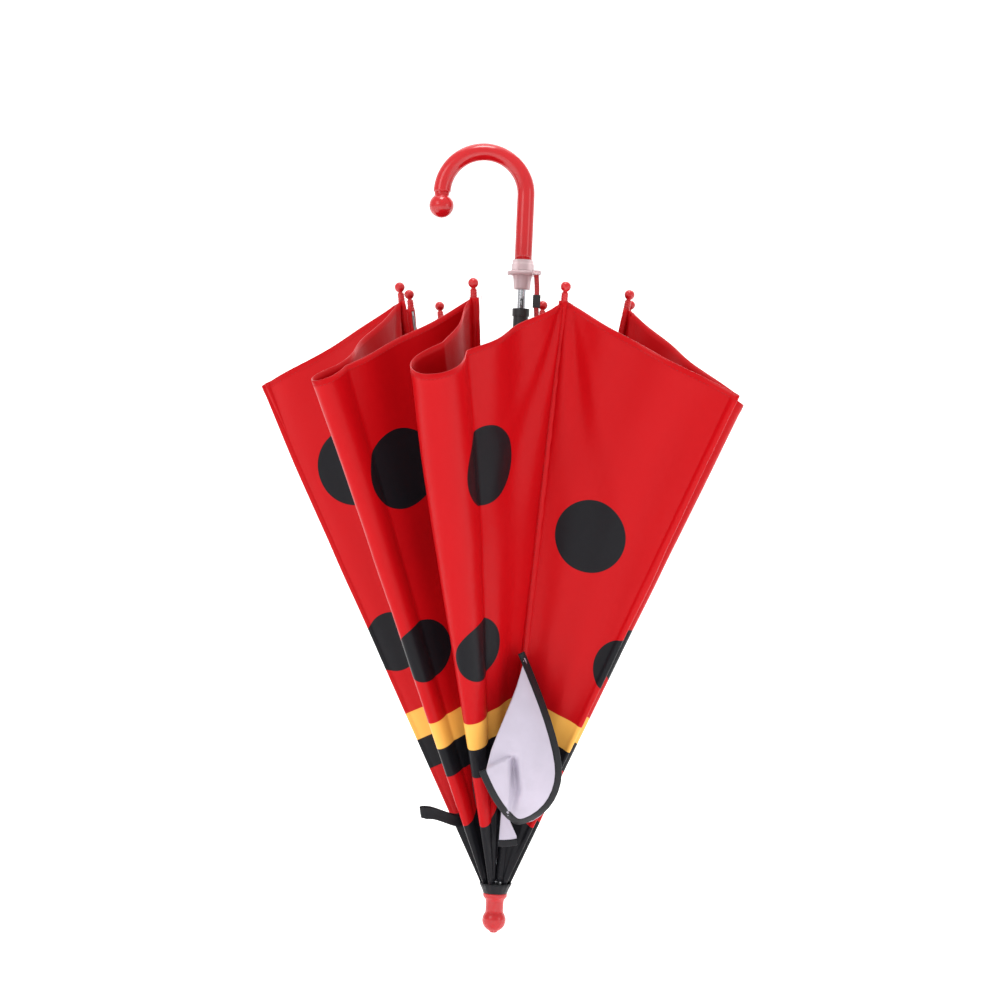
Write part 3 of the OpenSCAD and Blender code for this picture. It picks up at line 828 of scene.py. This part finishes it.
def build_seam(number):
    """Seam allowance that wraps the back of a rib, with its thread"""
    rib = Rib(number)
    trim = bpy.context.scene.trim_sizes
    start, end = 6 * MM, rib.hem - 1 * MM
    rows = 90
    half = [(-3.8, -0.3), (-3.1, 1.3), (-2.3, 2.6), (-1.2, 3.2)]
    shape = half + [(0, 3.4)] + [(-side, out) for side, out in half[::-1]]
    clear_of_dots = 150 * MM
    surface = np.zeros((rows, len(shape), 3))
    uv = np.zeros((rows, len(shape), 2))
    for r, along in enumerate(np.linspace(start, end, rows)):
        ripple = 0.25 * math.sin(along * 310 + number) + 0.15 * math.sin(along * 790)
        for c, (side, out) in enumerate(shape):
            surface[r, c] = rib.place(side * MM, (out + ripple) * MM, along)
            uv[r, c] = (clear_of_dots + side * MM, along)
    sizes = bpy.context.scene.canopy_sizes
    obj = sheet_object(f"Seam_{number}", surface, sizes.cloth_thickness,
        material("canopy_satin"), uv)
    belong(obj, rib.body, "canopy_cloth")
    for c, label in ((2, "a"), (6, "b")):
        for band, thread, first, last in ((0, "black_thread", start, sizes.yellow_start),
                (1, "red_thread", sizes.yellow_end, end)):
            line = [rib.place(shape[c][0] * MM, (shape[c][1] + 0.35) * MM, t)
                for t in np.linspace(first, last, 40)]
            run = stitches(f"Seam_thread_{number}{label}{band}", line, material(thread),
                trim.stitch_step)
            belong(run, rib.body, "canopy_cloth")


def build_tip(number):
    """Moulded tip: ribbed sleeve, waist and ball, with loose ends of thread"""
    rib = Rib(number)
    steps = bpy.context.scene.hardware_sizes.round_steps // 2
    ball = 4 * MM
    centre = rib.tip - ball
    foot = centre - 14 * MM
    profile = [(0, foot - 0.4 * MM), (1.9 * MM, foot - 0.4 * MM), (2.6 * MM, foot)]
    for i in range(4):
        step = foot + (1 + 2 * i) * MM
        profile += [(2.65 * MM, step), (2.35 * MM, step + 0.6 * MM), (2.65 * MM, step + 1.2 * MM)]
    profile += [(2.5 * MM, foot + 9 * MM), (1.7 * MM, foot + 9.8 * MM)]
    profile += [(ball * math.sin(a), centre - ball * math.cos(a))
        for a in np.linspace(0.42, math.pi, 14)]
    middle = rib.pivot + 1.1 * MM * rib.out
    obj = turned_part(f"Tip_{number}", rounded(profile, 0.35 * MM, 3), middle,
        material("tip_plastic"), steps, side=rib.side, out=rib.out, way=rib.way)
    belong(obj, rib.body, "tip_plastic", f"rib_tip_{number}")
    rng = np.random.default_rng(100 + number)
    for i in range(3):
        a = rng.uniform(0, 2 * math.pi)
        away = math.cos(a) * rib.side + math.sin(a) * rib.out
        root = rib.place(0, 0, foot + rng.uniform(3, 7) * MM) + 2.4 * MM * away
        length = rng.uniform(4, 8) * MM
        sway = rng.normal(0, 0.6, 3) * MM
        line = curve_points([root, root + 0.5 * length * away + 0.3 * length * rib.way + sway,
            root + 0.7 * length * away - 0.4 * length * rib.way], 9)
        radius = 0.13 * MM
        thread = swept_part(f"Loose_thread_{number}{'abc'[i]}", line,
            lambda j: [line[j] + radius * (math.cos(t) * rib.side + math.sin(t) * rib.out)
                for t in np.arange(5) * 2 * math.pi / 5], material("red_thread"))
        belong(thread, rib.body, "canopy_cloth")


def build_apex_cap():
    """Black cloth gathered round the hub, over the ferrule's rim"""
    low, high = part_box("crown_washer")
    foot, rim = low.z + 0.4 * MM, high.x
    wall = [(rim - 0.6 * MM, foot), (rim + 0.2 * MM, foot), (rim + 0.6 * MM, foot + 1.5 * MM),
        (rim + 1.9 * MM, foot + 4.5 * MM), (rim + 3.2 * MM, foot + 7.5 * MM),
        (rim + 2.7 * MM, foot + 7.8 * MM), (rim + 1.3 * MM, foot + 4.5 * MM),
        (rim - 0.1 * MM, foot + 1.5 * MM)]
    obj = turned_part("Apex_cap", wall, np.array([0, 0, 0.0]), material("apex_cloth"), 64)
    for v in obj.data.vertices:
        angle = math.atan2(v.co.y, v.co.x)
        lift = max(0, v.co.z - foot) / (9 * MM)
        scale = 1 + 0.035 * lift * math.sin(16 * angle) + 0.02 * lift * math.sin(5 * angle)
        v.co.x, v.co.y = v.co.x * scale, v.co.y * scale
    belong(obj, "frame", "antenna_cloth")


# --- Eyes and antennae ------------------------------------------------------------


EYE_TOP, EYE_HEIGHT = 226.4, 136  # top over the ferrule's tip, and its height, in mm
EYE_OUTLINE = np.array([
    # height over the ferrule's tip, left edge, right edge, in mm
    (226.4, 14.0, 15.2), (218.5, 13.4, 18.2), (202.6, 9.4, 26.2), (193.4, 6.2, 30.4),
    (177.4, 0.1, 37.3), (164.7, -4.6, 41.1), (153.6, -8.5, 44.7), (142.0, -11.0, 47.6),
    (135.0, -12.6, 48.2), (128.0, -12.2, 47.6), (120.6, -9.4, 45.4), (113.0, -5.0, 43.2),
    (106.2, -0.6, 39.6), (100.0, 4.6, 34.6), (95.0, 9.0, 28.4), (90.4, 13.6, 18.0)])


def eye_edges(height):
    """Left and right edges of the near eye at a height over the ferrule's tip, in mm"""
    table = EYE_OUTLINE[::-1]
    return (np.interp(height, table[:, 0], table[:, 1]),
        np.interp(height, table[:, 0], table[:, 2]))


def eye_depth(rib, side, height):
    """How far forward the near eye's front lies, in metres, with its crease and dart"""
    left, right = eye_edges(height)
    share = float(np.clip((side - left) / (right - left), 0, 1))
    along = (height * MM - GRIP_HEIGHT - rib.pivot[2]) / rib.way[2]
    bulge = math.sin(math.pi * float(np.clip((EYE_TOP - height) / EYE_HEIGHT, 0.02, 0.98)))
    depth = rib.place(0, 5 * MM, along)[1] / MM - 9 - 38 * bulge ** 0.7
    depth += share * (5 + 10 * bulge) - 7 * math.sin(math.pi * share) * bulge
    crease = 140 + 0.52 * (side + 11)
    lobe = smooth_step((crease - height) / 2.4 + 0.5) * smooth_step((7.6 - side) / 3.4 + 0.5)
    groove_side = float(np.interp(height, [100, 122, 149], [9.4, 12.2, 8.6]))
    groove = math.exp(-(((side - groove_side) / 3.4) ** 2))
    groove *= float(np.interp(height, [98, 116, 140, 147, 152], [0, 0.55, 1, 0.8, 0]))
    fan = math.exp(-(((side - 10 - 0.35 * (150 - height)) / 5) ** 2))
    fan *= float(np.interp(height, [108, 132, 150, 162], [0, 1, 0.8, 0]))
    swell = 1.1 * math.sin(0.055 * height + 0.12 * side) + 0.5 * math.sin(0.23 * side)
    return (depth - 4.6 * lobe + 11 * groove - 2.4 * fan + swell * bulge) * MM


def build_near_eye():
    """Round flap sewn along a seam, folded over towards the front"""
    rib = Rib(7)
    trim = bpy.context.scene.trim_sizes
    rows, columns, turn = 110, 92, 22
    heights = np.linspace(EYE_OUTLINE[0, 0] - 2.4, EYE_OUTLINE[-1, 0] + 3.4, rows)
    surface = np.zeros((rows, columns, 3))
    for r, height in enumerate(heights):
        z = height * MM - GRIP_HEIGHT
        seam = rib.place(0, 5 * MM, (z - rib.pivot[2]) / rib.way[2])
        left, right = eye_edges(height)
        left, right = left + (1.6 if height < 134 else 0), right - 1.4
        bulge = math.sin(math.pi * r / (rows - 1))
        corner = np.array([left * MM, eye_depth(rib, left, height), z])
        for c in range(columns):
            if c < turn:
                f = c / turn
                p = seam * (1 - f) + corner * f
                p[0] -= 4 * MM * math.sin(math.pi * f) * bulge
            else:
                side = left + (right - left) * (c - turn) / (columns - 1 - turn)
                p = np.array([side * MM, eye_depth(rib, side, height), z])
            surface[r, c] = p
    first = turn - 3
    for _ in range(3):
        band = surface[:, first - 1:turn + 4]
        surface[:, first:turn + 3] = (0.25 * band[:, :-2] + 0.5 * band[:, 1:-1]
            + 0.25 * band[:, 2:])
    obj = sheet_object("Eye_near", surface, 0.5 * MM, material("eye_cloth"))
    belong(obj, rib.body, "eye_cloth", "eye_near")
    right_edge = [(right, height) for height, _, right in EYE_OUTLINE]
    left_edge = [(left, height) for height, left, _ in EYE_OUTLINE[::-1] if height < 133]
    top, low_corner, free_end = (13.4, 229), (15.4, 89.4), [(-13.8, 132.5), (-16.4, 136.6)]
    flat = [top] + right_edge + [low_corner] + left_edge + free_end
    tape, line = eye_binding(rib, "Eye_near_binding", flat, trim.binding_width)
    right_side = line[6:72]
    thread = stitches("Eye_near_thread", right_side, material("black_thread"),
        trim.stitch_step)
    belong(thread, rib.body, "antenna_cloth")


def eye_binding(rib, name, flat, width, depth=eye_depth):
    """Tape folded over the eye's edge: flat is its route across and up, in mm"""
    route = smooth_line([(x, y, 0) for x, y in flat], 150)[:, :2]
    tangent = np.gradient(route, axis=0)
    tangent /= np.linalg.norm(tangent, axis=1, keepdims=True)
    inward = np.stack([tangent[:, 1], -tangent[:, 0]], axis=1)
    count = 16
    rings, line = [], []
    for (x, height), (ix, iz) in zip(route, inward):
        ring = []
        for a in np.arange(count) * 2 * math.pi / count:
            lean, lift = math.cos(a), math.sin(a)
            reach = width / MM * (0.5 + 0.5 * np.sign(lean) * abs(lean) ** 0.45) - 0.8
            side, up = x + ix * reach, height + iz * reach
            front = depth(rib, side, up) - 0.85 * MM * np.sign(lift) * abs(lift) ** 0.6
            ring.append((side * MM, front, up * MM - GRIP_HEIGHT))
        rings.append(ring)
        inner = width / MM - 2.0
        side, up = x + ix * inner, height + iz * inner
        line.append((side * MM, depth(rib, side, up) - 1.0 * MM, up * MM - GRIP_HEIGHT))
    tape = swept_part(name, route, lambda i: rings[i], material("black_tape"))
    belong(tape, rib.body, "antenna_cloth")
    return tape, line


def smooth_line(points, count):
    """The same line with evenly spaced points, its corners eased"""
    points = np.array(points)
    for _ in range(4):
        points[1:-1] = 0.25 * points[:-2] + 0.5 * points[1:-1] + 0.25 * points[2:]
    steps = np.concatenate([[0], np.cumsum(np.linalg.norm(np.diff(points, axis=0), axis=1))])
    at = np.linspace(0, steps[-1], count)
    return np.stack([np.interp(at, steps, points[:, i]) for i in range(3)], axis=1)


def corner_depth(rib, side, height):
    along = (height * MM - GRIP_HEIGHT - rib.pivot[2]) / rib.way[2]
    return rib.place(0, 6 * MM, along)[1] - (9 + 1.6 * math.sin(0.2 * side)) * MM


def build_eye_corner():
    """Lower corner of the near eye's back layer, which shows under it"""
    rib = Rib(7)
    rows, columns = 22, 18
    surface = np.zeros((rows, columns, 3))
    for r, height in enumerate(np.linspace(104, 77, rows)):
        left = float(np.interp(height, [77, 104], [1.0, 2.0]))
        right = float(np.interp(height, [77, 82, 104], [14.6, 14.8, 4.0]))
        for c in range(columns):
            side = left + (right - left) * c / (columns - 1)
            surface[r, c] = (side * MM, corner_depth(rib, side, height),
                height * MM - GRIP_HEIGHT)
    obj = sheet_object("Eye_near_back_corner", surface, 0.5 * MM, material("eye_cloth"))
    belong(obj, rib.body, "eye_cloth")
    tape, _ = eye_binding(rib, "Eye_near_back_binding",
        [(15.6, 75.2), (11, 73.6), (6, 73.2), (0.4, 73.4)],
        bpy.context.scene.trim_sizes.binding_width, corner_depth)


def trim_plane(node, rib):
    """Middle of a plate-like CAD node and its way out from the rib's seam"""
    points = np.array([v.co for v in frame["nodes"][node].data.vertices])
    rel = points - rib.pivot
    off = rel - np.outer(rel @ rib.way, rib.way)
    out = unit(off.mean(0))
    along = rel @ rib.way
    reach = off @ out
    return out, (along.min() + along.max()) / 2, along.max() - along.min(), reach.max()


def build_far_eye():
    """The other eye, pleated three times and tucked into the valley over its seam"""
    rib = Rib(6)
    out, middle, height, reach = trim_plane("eye_far", rib)
    across = np.cross(out, rib.way)
    radius, root, passes, gap = height / 2, 4 * MM, 3, 1.5 * MM
    rows, columns = 60, 61
    surface = np.zeros((rows, columns, 3))
    for r in range(rows):
        angle = math.pi * (0.03 + 0.94 * r / (rows - 1))
        chord = (reach - root - 1 * MM) * math.sin(angle)
        for c in range(columns):
            run = passes * c / (columns - 1)
            fold = 1 - abs(run % 2 - 1)
            eased = fold * fold * (3 - 2 * fold) * 0.4 + fold * 0.6
            off = root + chord * eased
            lift = gap * (run - passes / 2) + 0.5 * MM * math.sin(5 * angle + 3 * run)
            surface[r, c] = (rib.pivot + (middle - radius * math.cos(angle)) * rib.way
                + off * out + lift * across)
    obj = sheet_object("Eye_far", surface, 0.5 * MM, material("eye_cloth"))
    belong(obj, rib.body, "eye_cloth", "eye_far")
    path = smooth_line(surface[1:-1, -1], 90)
    tangent = np.gradient(path, axis=0)
    tangent /= np.linalg.norm(tangent, axis=1, keepdims=True)
    face = np.array([unit(across - (across @ t) * t) for t in tangent])
    inward = np.cross(tangent, face)
    trim = bpy.context.scene.trim_sizes
    tape = flat_tape("Eye_far_binding", path, inward, face, trim.binding_width, 1.7 * MM,
        material("black_tape"))
    belong(tape, rib.body, "antenna_cloth")


def strap_loop(name, node, rib, line, across, edge):
    """Flat strap along a folded line of points, sewn into a seam at both ends"""
    width = bpy.context.scene.trim_sizes.strap_width
    line = curve_points(line, 72)
    rows, columns = len(line), 9
    surface = np.zeros((rows, columns, 3))
    for r, point in enumerate(line):
        for c in range(columns):
            g = c / (columns - 1) - 0.5
            cup = 0.45 * MM * math.cos(math.pi * g) * math.sin(math.pi * r / (rows - 1))
            # the fold at the loop's end draws the edges in
            drawn = 1 - 0.42 * math.exp(-((r - rows / 2) / 4.2) ** 2)
            surface[r, c] = point + g * width * drawn * edge + cup * across
    obj = sheet_object(name, surface, 0.9 * MM, material("black_tape"))
    belong(obj, rib.body, "antenna_cloth", node)


def build_left_antenna():
    """Loop of strap that stands out of its seam"""
    rib = Rib(5)
    out, middle, _, reach = trim_plane("antenna_left", rib)
    across = np.cross(out, rib.way)
    start, end = 4 * MM, reach - 1.5 * MM
    shape = [(start, 0.6), (start + 8 * MM, 0.8), (0.4 * reach, 2.2), (0.75 * reach, 3.0),
        (end - 2 * MM, 2.5), (end, 0.2), (end - 2 * MM, -2.2), (0.75 * reach, -2.7),
        (0.4 * reach, -1.8), (start + 8 * MM, -0.8), (start, -0.6)]
    shown, lean, dip = 27 * MM, 0.28, 4.5 * MM

    def height(off):
        """The strap comes up out of its seam and then lies level"""
        root = smooth_step((off - (end - shown)) / (11 * MM))
        return middle + 2.5 * MM - lean * (end - max(off, end - shown)) - dip * (1 - root)

    line = [rib.pivot + height(off) * rib.way + off * out + lift * MM * across
        for off, lift in shape]
    strap_loop("Antenna_left", "antenna_left", rib, line, across, rib.way)


def build_right_antenna():
    """Loop of strap pressed flat along its seam"""
    rib = Rib(8)
    out, middle, length, reach = trim_plane("antenna_right", rib)
    across = np.cross(out, rib.way)
    foot, head = middle - length / 2, middle + length / 2
    near, far = 5 * MM, reach - 2 * MM
    shape = [(near, foot + 3 * MM, 0.5), (near + 1 * MM, foot + 9 * MM, 0.9),
        (0.5 * (near + far), middle, 1.3), (far - 1 * MM, head - 4 * MM, 1.2),
        (far, head - 1 * MM, 0), (far - 1 * MM, head - 4 * MM, -1.2),
        (0.5 * (near + far), middle, -1.3), (near + 1 * MM, foot + 9 * MM, -0.9),
        (near, foot + 3 * MM, -0.5)]
    line = [rib.pivot + up * rib.way + off * out + lift * MM * across
        for off, up, lift in shape]
    strap_loop("Antenna_right", "antenna_right", rib, line, across, out)


# --- Moulded parts ----------------------------------------------------------------


def build_crook():
    low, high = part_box("handle_crook")
    steps = bpy.context.scene.hardware_sizes.round_steps
    radius = (high.y - low.y) / 2
    bend = (high.x - low.x) / 2 - radius
    top = high.z - radius - bend
    straight = [np.array([0, 0, z]) for z in np.linspace(low.z, top, 14)]
    turns = np.linspace(0, math.pi, 73)[1:]
    arc = [np.array([-bend + bend * math.cos(a), 0, top + bend * math.sin(a)])
        for a in turns]
    path = straight + arc
    ways = [UP] * len(straight) + [np.array([-math.sin(a), 0, math.cos(a)]) for a in turns]
    across = np.array([0, 1.0, 0])

    def section(i):
        out = np.cross(across, ways[i])
        r = radius * (0.985 if i == 1 else 1.0)  # a little narrower over its end
        return [path[i] + r * (math.cos(a) * out + math.sin(a) * across)
            for a in np.arange(steps) * 2 * math.pi / steps]

    rings = [section(i) for i in range(len(path))]
    end = len(path) - 1
    for share in (0.94, 0.80):
        rings.append([path[end] + (p - path[end]) * share + ways[end] * 0.02 * MM
            for p in section(end)])
    points = [p for ring in rings for p in ring]
    faces = grid_faces(len(rings), steps, close_columns=True)
    faces.append(tuple(range(steps - 1, -1, -1)))
    faces.append(tuple((len(rings) - 1) * steps + i for i in range(steps)))
    obj = outward(mesh_object("Crook_handle", points, faces, material("red_plastic")))
    belong(obj, "frame", "red_plastic", "handle_crook")


def ball_arc(radius, centre, first, last, count=22):
    return [(radius * math.sin(a), centre - radius * math.cos(a))
        for a in np.linspace(first, last, count)]


def build_handle_ball():
    low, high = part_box("handle_ball")
    radius = (high.x - low.x) / 2
    middle = np.array([(low.x + high.x) / 2, 0, 0])
    centre = low.z + radius
    neck = 6 * MM
    rod_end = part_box("handle_crook")[1].z - 40.6 * MM
    profile = ball_arc(radius, centre, 0, math.pi - 0.66, 26)
    profile += [(neck, rod_end - 0.4 * MM), (neck, rod_end + 1.5 * MM), (0, rod_end + 1.5 * MM)]
    obj = turned_part("Handle_ball", profile, middle, material("red_plastic"),
        bpy.context.scene.hardware_sizes.round_steps)
    belong(obj, "frame", "red_plastic", "handle_ball")


def build_ferrule():
    low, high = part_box("ferrule")
    foot, top, rim = low.z, high.z, high.x
    ball, neck = 9.5 * MM, 7.2 * MM
    ball_centre = foot + 10.4 * MM
    profile = [(0, foot), (2.6 * MM, foot + 0.3 * MM)]
    profile += ball_arc(ball, ball_centre, 0.45, 2.25, 20)
    profile += [(neck + 0.1 * MM, foot + 17.2 * MM), (neck, foot + 18 * MM),
        (neck, foot + 25 * MM), (neck + 0.5 * MM, foot + 26.8 * MM),
        (rim - 0.5 * MM, foot + 28.6 * MM), (rim, foot + 29.6 * MM), (rim, top - 0.5 * MM),
        (rim - 0.5 * MM, top), (0, top)]
    obj = turned_part("Ferrule", rounded(profile, 0.8 * MM, 4), np.zeros(3),
        material("red_plastic"), bpy.context.scene.hardware_sizes.round_steps)
    belong(obj, "frame", "red_plastic", "ferrule")


def build_collar():
    steps = bpy.context.scene.hardware_sizes.round_steps
    low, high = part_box("safety_collar")
    ring_low, ring_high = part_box("collar_ring")
    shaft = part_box("shaft")[1].x
    foot, head = low.z, high.z
    cup = [(shaft, foot), (6.3 * MM, foot), (6.6 * MM, foot + 1 * MM),
        (7.2 * MM, ring_low.z - 3 * MM), (8 * MM, ring_low.z), (8 * MM, ring_high.z),
        (8.9 * MM, ring_high.z + 0.4 * MM), (8.9 * MM, head - 3.4 * MM),
        (8.4 * MM, head - 2.8 * MM), (8.4 * MM, head), (shaft, head)]
    obj = turned_part("Safety_collar", rounded(cup, 0.5 * MM, 4), np.zeros(3),
        material("clear_plastic"), steps)
    belong(obj, "frame", "clear_plastic", "safety_collar")
    radius = -ring_low.x
    z0, z1 = ring_low.z, ring_high.z
    band = [(8 * MM, z0), (radius - 1 * MM, z0), (radius, z0 + 1 * MM), (radius, z1 - 1 * MM),
        (radius - 1 * MM, z1), (8 * MM, z1)]
    obj = turned_part("Collar_ring", rounded(band, 0.6 * MM, 4), np.zeros(3),
        material("clear_plastic"), steps)
    belong(obj, "frame", "clear_plastic", "collar_ring")
    lug = np.array([cord_route()[0][0], cord_route()[0][1], 0])
    eye = [(2.1 * MM, z0), (3.4 * MM, z0), (3.6 * MM, z0 + 0.8 * MM), (3.6 * MM, z1 - 0.8 * MM),
        (3.4 * MM, z1), (2.1 * MM, z1)]
    obj = turned_part("Collar_lug", rounded(eye, 0.3 * MM, 3), lug,
        material("clear_plastic"), 32)
    belong(obj, "frame", "clear_plastic")


def cord_route():
    """The hand cord's route in metres, from the underside of the collar's ring"""
    points = [(11, -12, 0), (12, -12, -12), (12, -13, -26), (13, -12, -40),
        (12, -12, -56), (12, -13, -74), (13, -13, -94)]
    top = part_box("hand_cord")[1].z
    return [np.array([x * MM, y * MM, z * MM + top]) for x, y, z in points]


def build_cord():
    diameter = 4 * MM
    line = curve_points(cord_route(), 40)
    obj = line_object("Hand_cord", line)
    obj.data.bevel_depth = diameter / 2
    obj.data.bevel_resolution = 6
    obj.data.use_fill_caps = True
    obj.data.materials.append(material("red_cord"))
    belong(obj, "frame", "red_cord", "hand_cord")


def finish_frame_nodes():
    """Finishes for the CAD pieces that keep their own shape"""
    finishes = {"shaft": "shaft_chrome", "crown_wire": "spring_steel",
        "crown_rivet": "spring_steel", "catch_pins": "spring_steel",
        "closed_catch": "spring_steel", "open_catch": "spring_steel",
        "crown_washer": "black_plastic", "crown_hub": "black_plastic",
        "runner": "black_plastic", "cord_clip": "black_plastic"}
    for number in range(1, RIBS + 1):
        finishes[f"rib_{number}"] = "rib_steel"
        finishes[f"stretcher_{number}"] = "rib_steel"
    for node, finish in finishes.items():
        obj = frame["nodes"][node]
        for place in obj.material_slots:
            place.material = material(finish)
        if not obj.material_slots:
            obj.data.materials.append(material(finish))


# --- Stage ------------------------------------------------------------------------


def build_stage():
    floor_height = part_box("ferrule")[0].z - 2 * MM
    depth, reach, width = 1.6, 2.6, 9.0
    profile = [(-6.0, 0)] + [(depth + reach * math.sin(a), reach * (1 - math.cos(a)))
        for a in np.linspace(0, math.pi / 2, 24)] + [(depth + reach, 7.0)]
    points = [(x, y, floor_height + z) for y, z in profile for x in (-width, width)]
    faces = [(2 * i, 2 * i + 1, 2 * i + 3, 2 * i + 2) for i in range(len(profile) - 1)]
    paint = Paint("pale_floor", (0.94, 0.94, 0.94), 0.9)
    paint.set("Emission Color", (1, 1, 1, 1))
    paint.set("Emission Strength", 0.5)
    floor = mesh_object("Stage_floor", points, faces, paint.material)
    world = bpy.data.worlds.new("Soft studio")
    world.use_nodes = True
    back = world.node_tree.nodes["Background"]
    back.inputs["Color"].default_value = (1, 1, 1, 1)
    back.inputs["Strength"].default_value = 0.70
    bpy.context.scene.world = world
    bpy.context.scene.view_settings.view_transform = "Standard"
    lights = (("Key", (-1.9, -2.2, 0.9), 1.3, 13), ("Fill", (2.4, -1.7, 0.2), 1.0, 5),
        ("Top", (-0.1, -0.7, 1.9), 0.7, 19), ("Rim", (0.8, 2.1, 1.5), 1.4, 20),
        ("Backdrop", (0, 0.8, 2.6), 3.0, 36))
    aim = Vector((0, 0, -0.25))
    for name, place, size, watts in lights:
        light = bpy.data.lights.new(name, "AREA")
        light.energy, light.size = watts, size
        obj = bpy.data.objects.new(name, light)
        obj.location = place
        obj.rotation_euler = (aim - Vector(place)).to_track_quat("-Z", "Y").to_euler()
        bpy.context.scene.collection.objects.link(obj)
    camera = bpy.data.cameras.new("View")
    camera.lens, camera.sensor_width = 90, 36
    obj = bpy.data.objects.new("View", camera)
    roll = math.radians(2.54)
    place = (-10 * MM, -2.0, 0.346 - GRIP_HEIGHT)
    turn = Matrix(((math.cos(roll), -math.sin(roll), 0), (0, 0, -1),
        (math.sin(roll), math.cos(roll), 0)))
    obj.matrix_world = Matrix.Translation(place) @ turn.to_4x4()
    bpy.context.scene.collection.objects.link(obj)
    bpy.context.scene.camera = obj


# --- Operators --------------------------------------------------------------------


class UMBRELLA_OT_stage(bpy.types.Operator):
    """Floor, soft lights and camera"""

    bl_idname = "umbrella.stage"
    bl_label = "Stage"

    def execute(self, context):
        build_stage()
        return {"FINISHED"}


class UMBRELLA_OT_canopy(bpy.types.Operator):
    """Eight gores with their folds, hems, seams and thread"""

    bl_idname = "umbrella.canopy"
    bl_label = "Canopy"

    def execute(self, context):
        for number in range(1, RIBS + 1):
            build_gore(number)
            build_hem_stitches(number)
            build_seam(number)
        build_apex_cap()
        return {"FINISHED"}


class UMBRELLA_OT_tips(bpy.types.Operator):
    """Moulded tips of the ribs"""

    bl_idname = "umbrella.tips"
    bl_label = "Rib tips"

    def execute(self, context):
        for number in range(1, RIBS + 1):
            build_tip(number)
        return {"FINISHED"}


class UMBRELLA_OT_eyes(bpy.types.Operator):
    """Cloth eyes with their bound edges"""

    bl_idname = "umbrella.eyes"
    bl_label = "Eyes"

    def execute(self, context):
        build_near_eye()
        build_eye_corner()
        build_far_eye()
        return {"FINISHED"}


class UMBRELLA_OT_antennae(bpy.types.Operator):
    """Looped straps over two seams"""

    bl_idname = "umbrella.antennae"
    bl_label = "Antennae"

    def execute(self, context):
        build_left_antenna()
        build_right_antenna()
        return {"FINISHED"}


class UMBRELLA_OT_handle(bpy.types.Operator):
    """Crook, its ball, the collar and the hand cord"""

    bl_idname = "umbrella.handle"
    bl_label = "Handle"

    def execute(self, context):
        build_crook()
        build_handle_ball()
        build_collar()
        build_cord()
        return {"FINISHED"}


class UMBRELLA_OT_ferrule(bpy.types.Operator):
    """Ferrule at the umbrella's point"""

    bl_idname = "umbrella.ferrule"
    bl_label = "Ferrule"

    def execute(self, context):
        build_ferrule()
        return {"FINISHED"}


class UMBRELLA_OT_frame_finish(bpy.types.Operator):
    """Finishes of the shaft, ribs, runner and other working parts"""

    bl_idname = "umbrella.frame_finish"
    bl_label = "Frame finish"

    def execute(self, context):
        finish_frame_nodes()
        return {"FINISHED"}


OPERATORS = (UMBRELLA_OT_stage, UMBRELLA_OT_canopy, UMBRELLA_OT_tips, UMBRELLA_OT_eyes,
    UMBRELLA_OT_antennae, UMBRELLA_OT_handle, UMBRELLA_OT_ferrule, UMBRELLA_OT_frame_finish)


class UMBRELLA_PT_panel(bpy.types.Panel):
    """Lists the umbrella's pieces and sizes"""

    bl_label = "Children's umbrella"
    bl_space_type = "VIEW_3D"
    bl_region_type = "UI"
    bl_category = "Umbrella"

    def draw(self, context):
        layout = self.layout
        for sizes in (context.scene.canopy_sizes, context.scene.trim_sizes,
                context.scene.hardware_sizes):
            box = layout.box()
            for name in sizes.__annotations__:
                box.prop(sizes, name)
        for operator in OPERATORS:
            layout.operator(operator.bl_idname)


GROUPS = (("canopy_sizes", CanopySizes), ("trim_sizes", TrimSizes),
    ("hardware_sizes", HardwareSizes))


def register():
    for name, group in GROUPS:
        bpy.utils.register_class(group)
        setattr(bpy.types.Scene, name, PointerProperty(type=group))
    for item in (*OPERATORS, UMBRELLA_PT_panel):
        bpy.utils.register_class(item)


def unregister():
    for item in reversed((*OPERATORS, UMBRELLA_PT_panel)):
        bpy.utils.unregister_class(item)
    for name, group in reversed(GROUPS):
        delattr(bpy.types.Scene, name)
        bpy.utils.unregister_class(group)


def main():
    register()
    bpy.ops.umbrella.stage()
    bpy.ops.umbrella.canopy()
    bpy.ops.umbrella.tips()
    bpy.ops.umbrella.eyes()
    bpy.ops.umbrella.antennae()
    bpy.ops.umbrella.handle()
    bpy.ops.umbrella.ferrule()
    bpy.ops.umbrella.frame_finish()


if __name__ == "__main__":
    main()
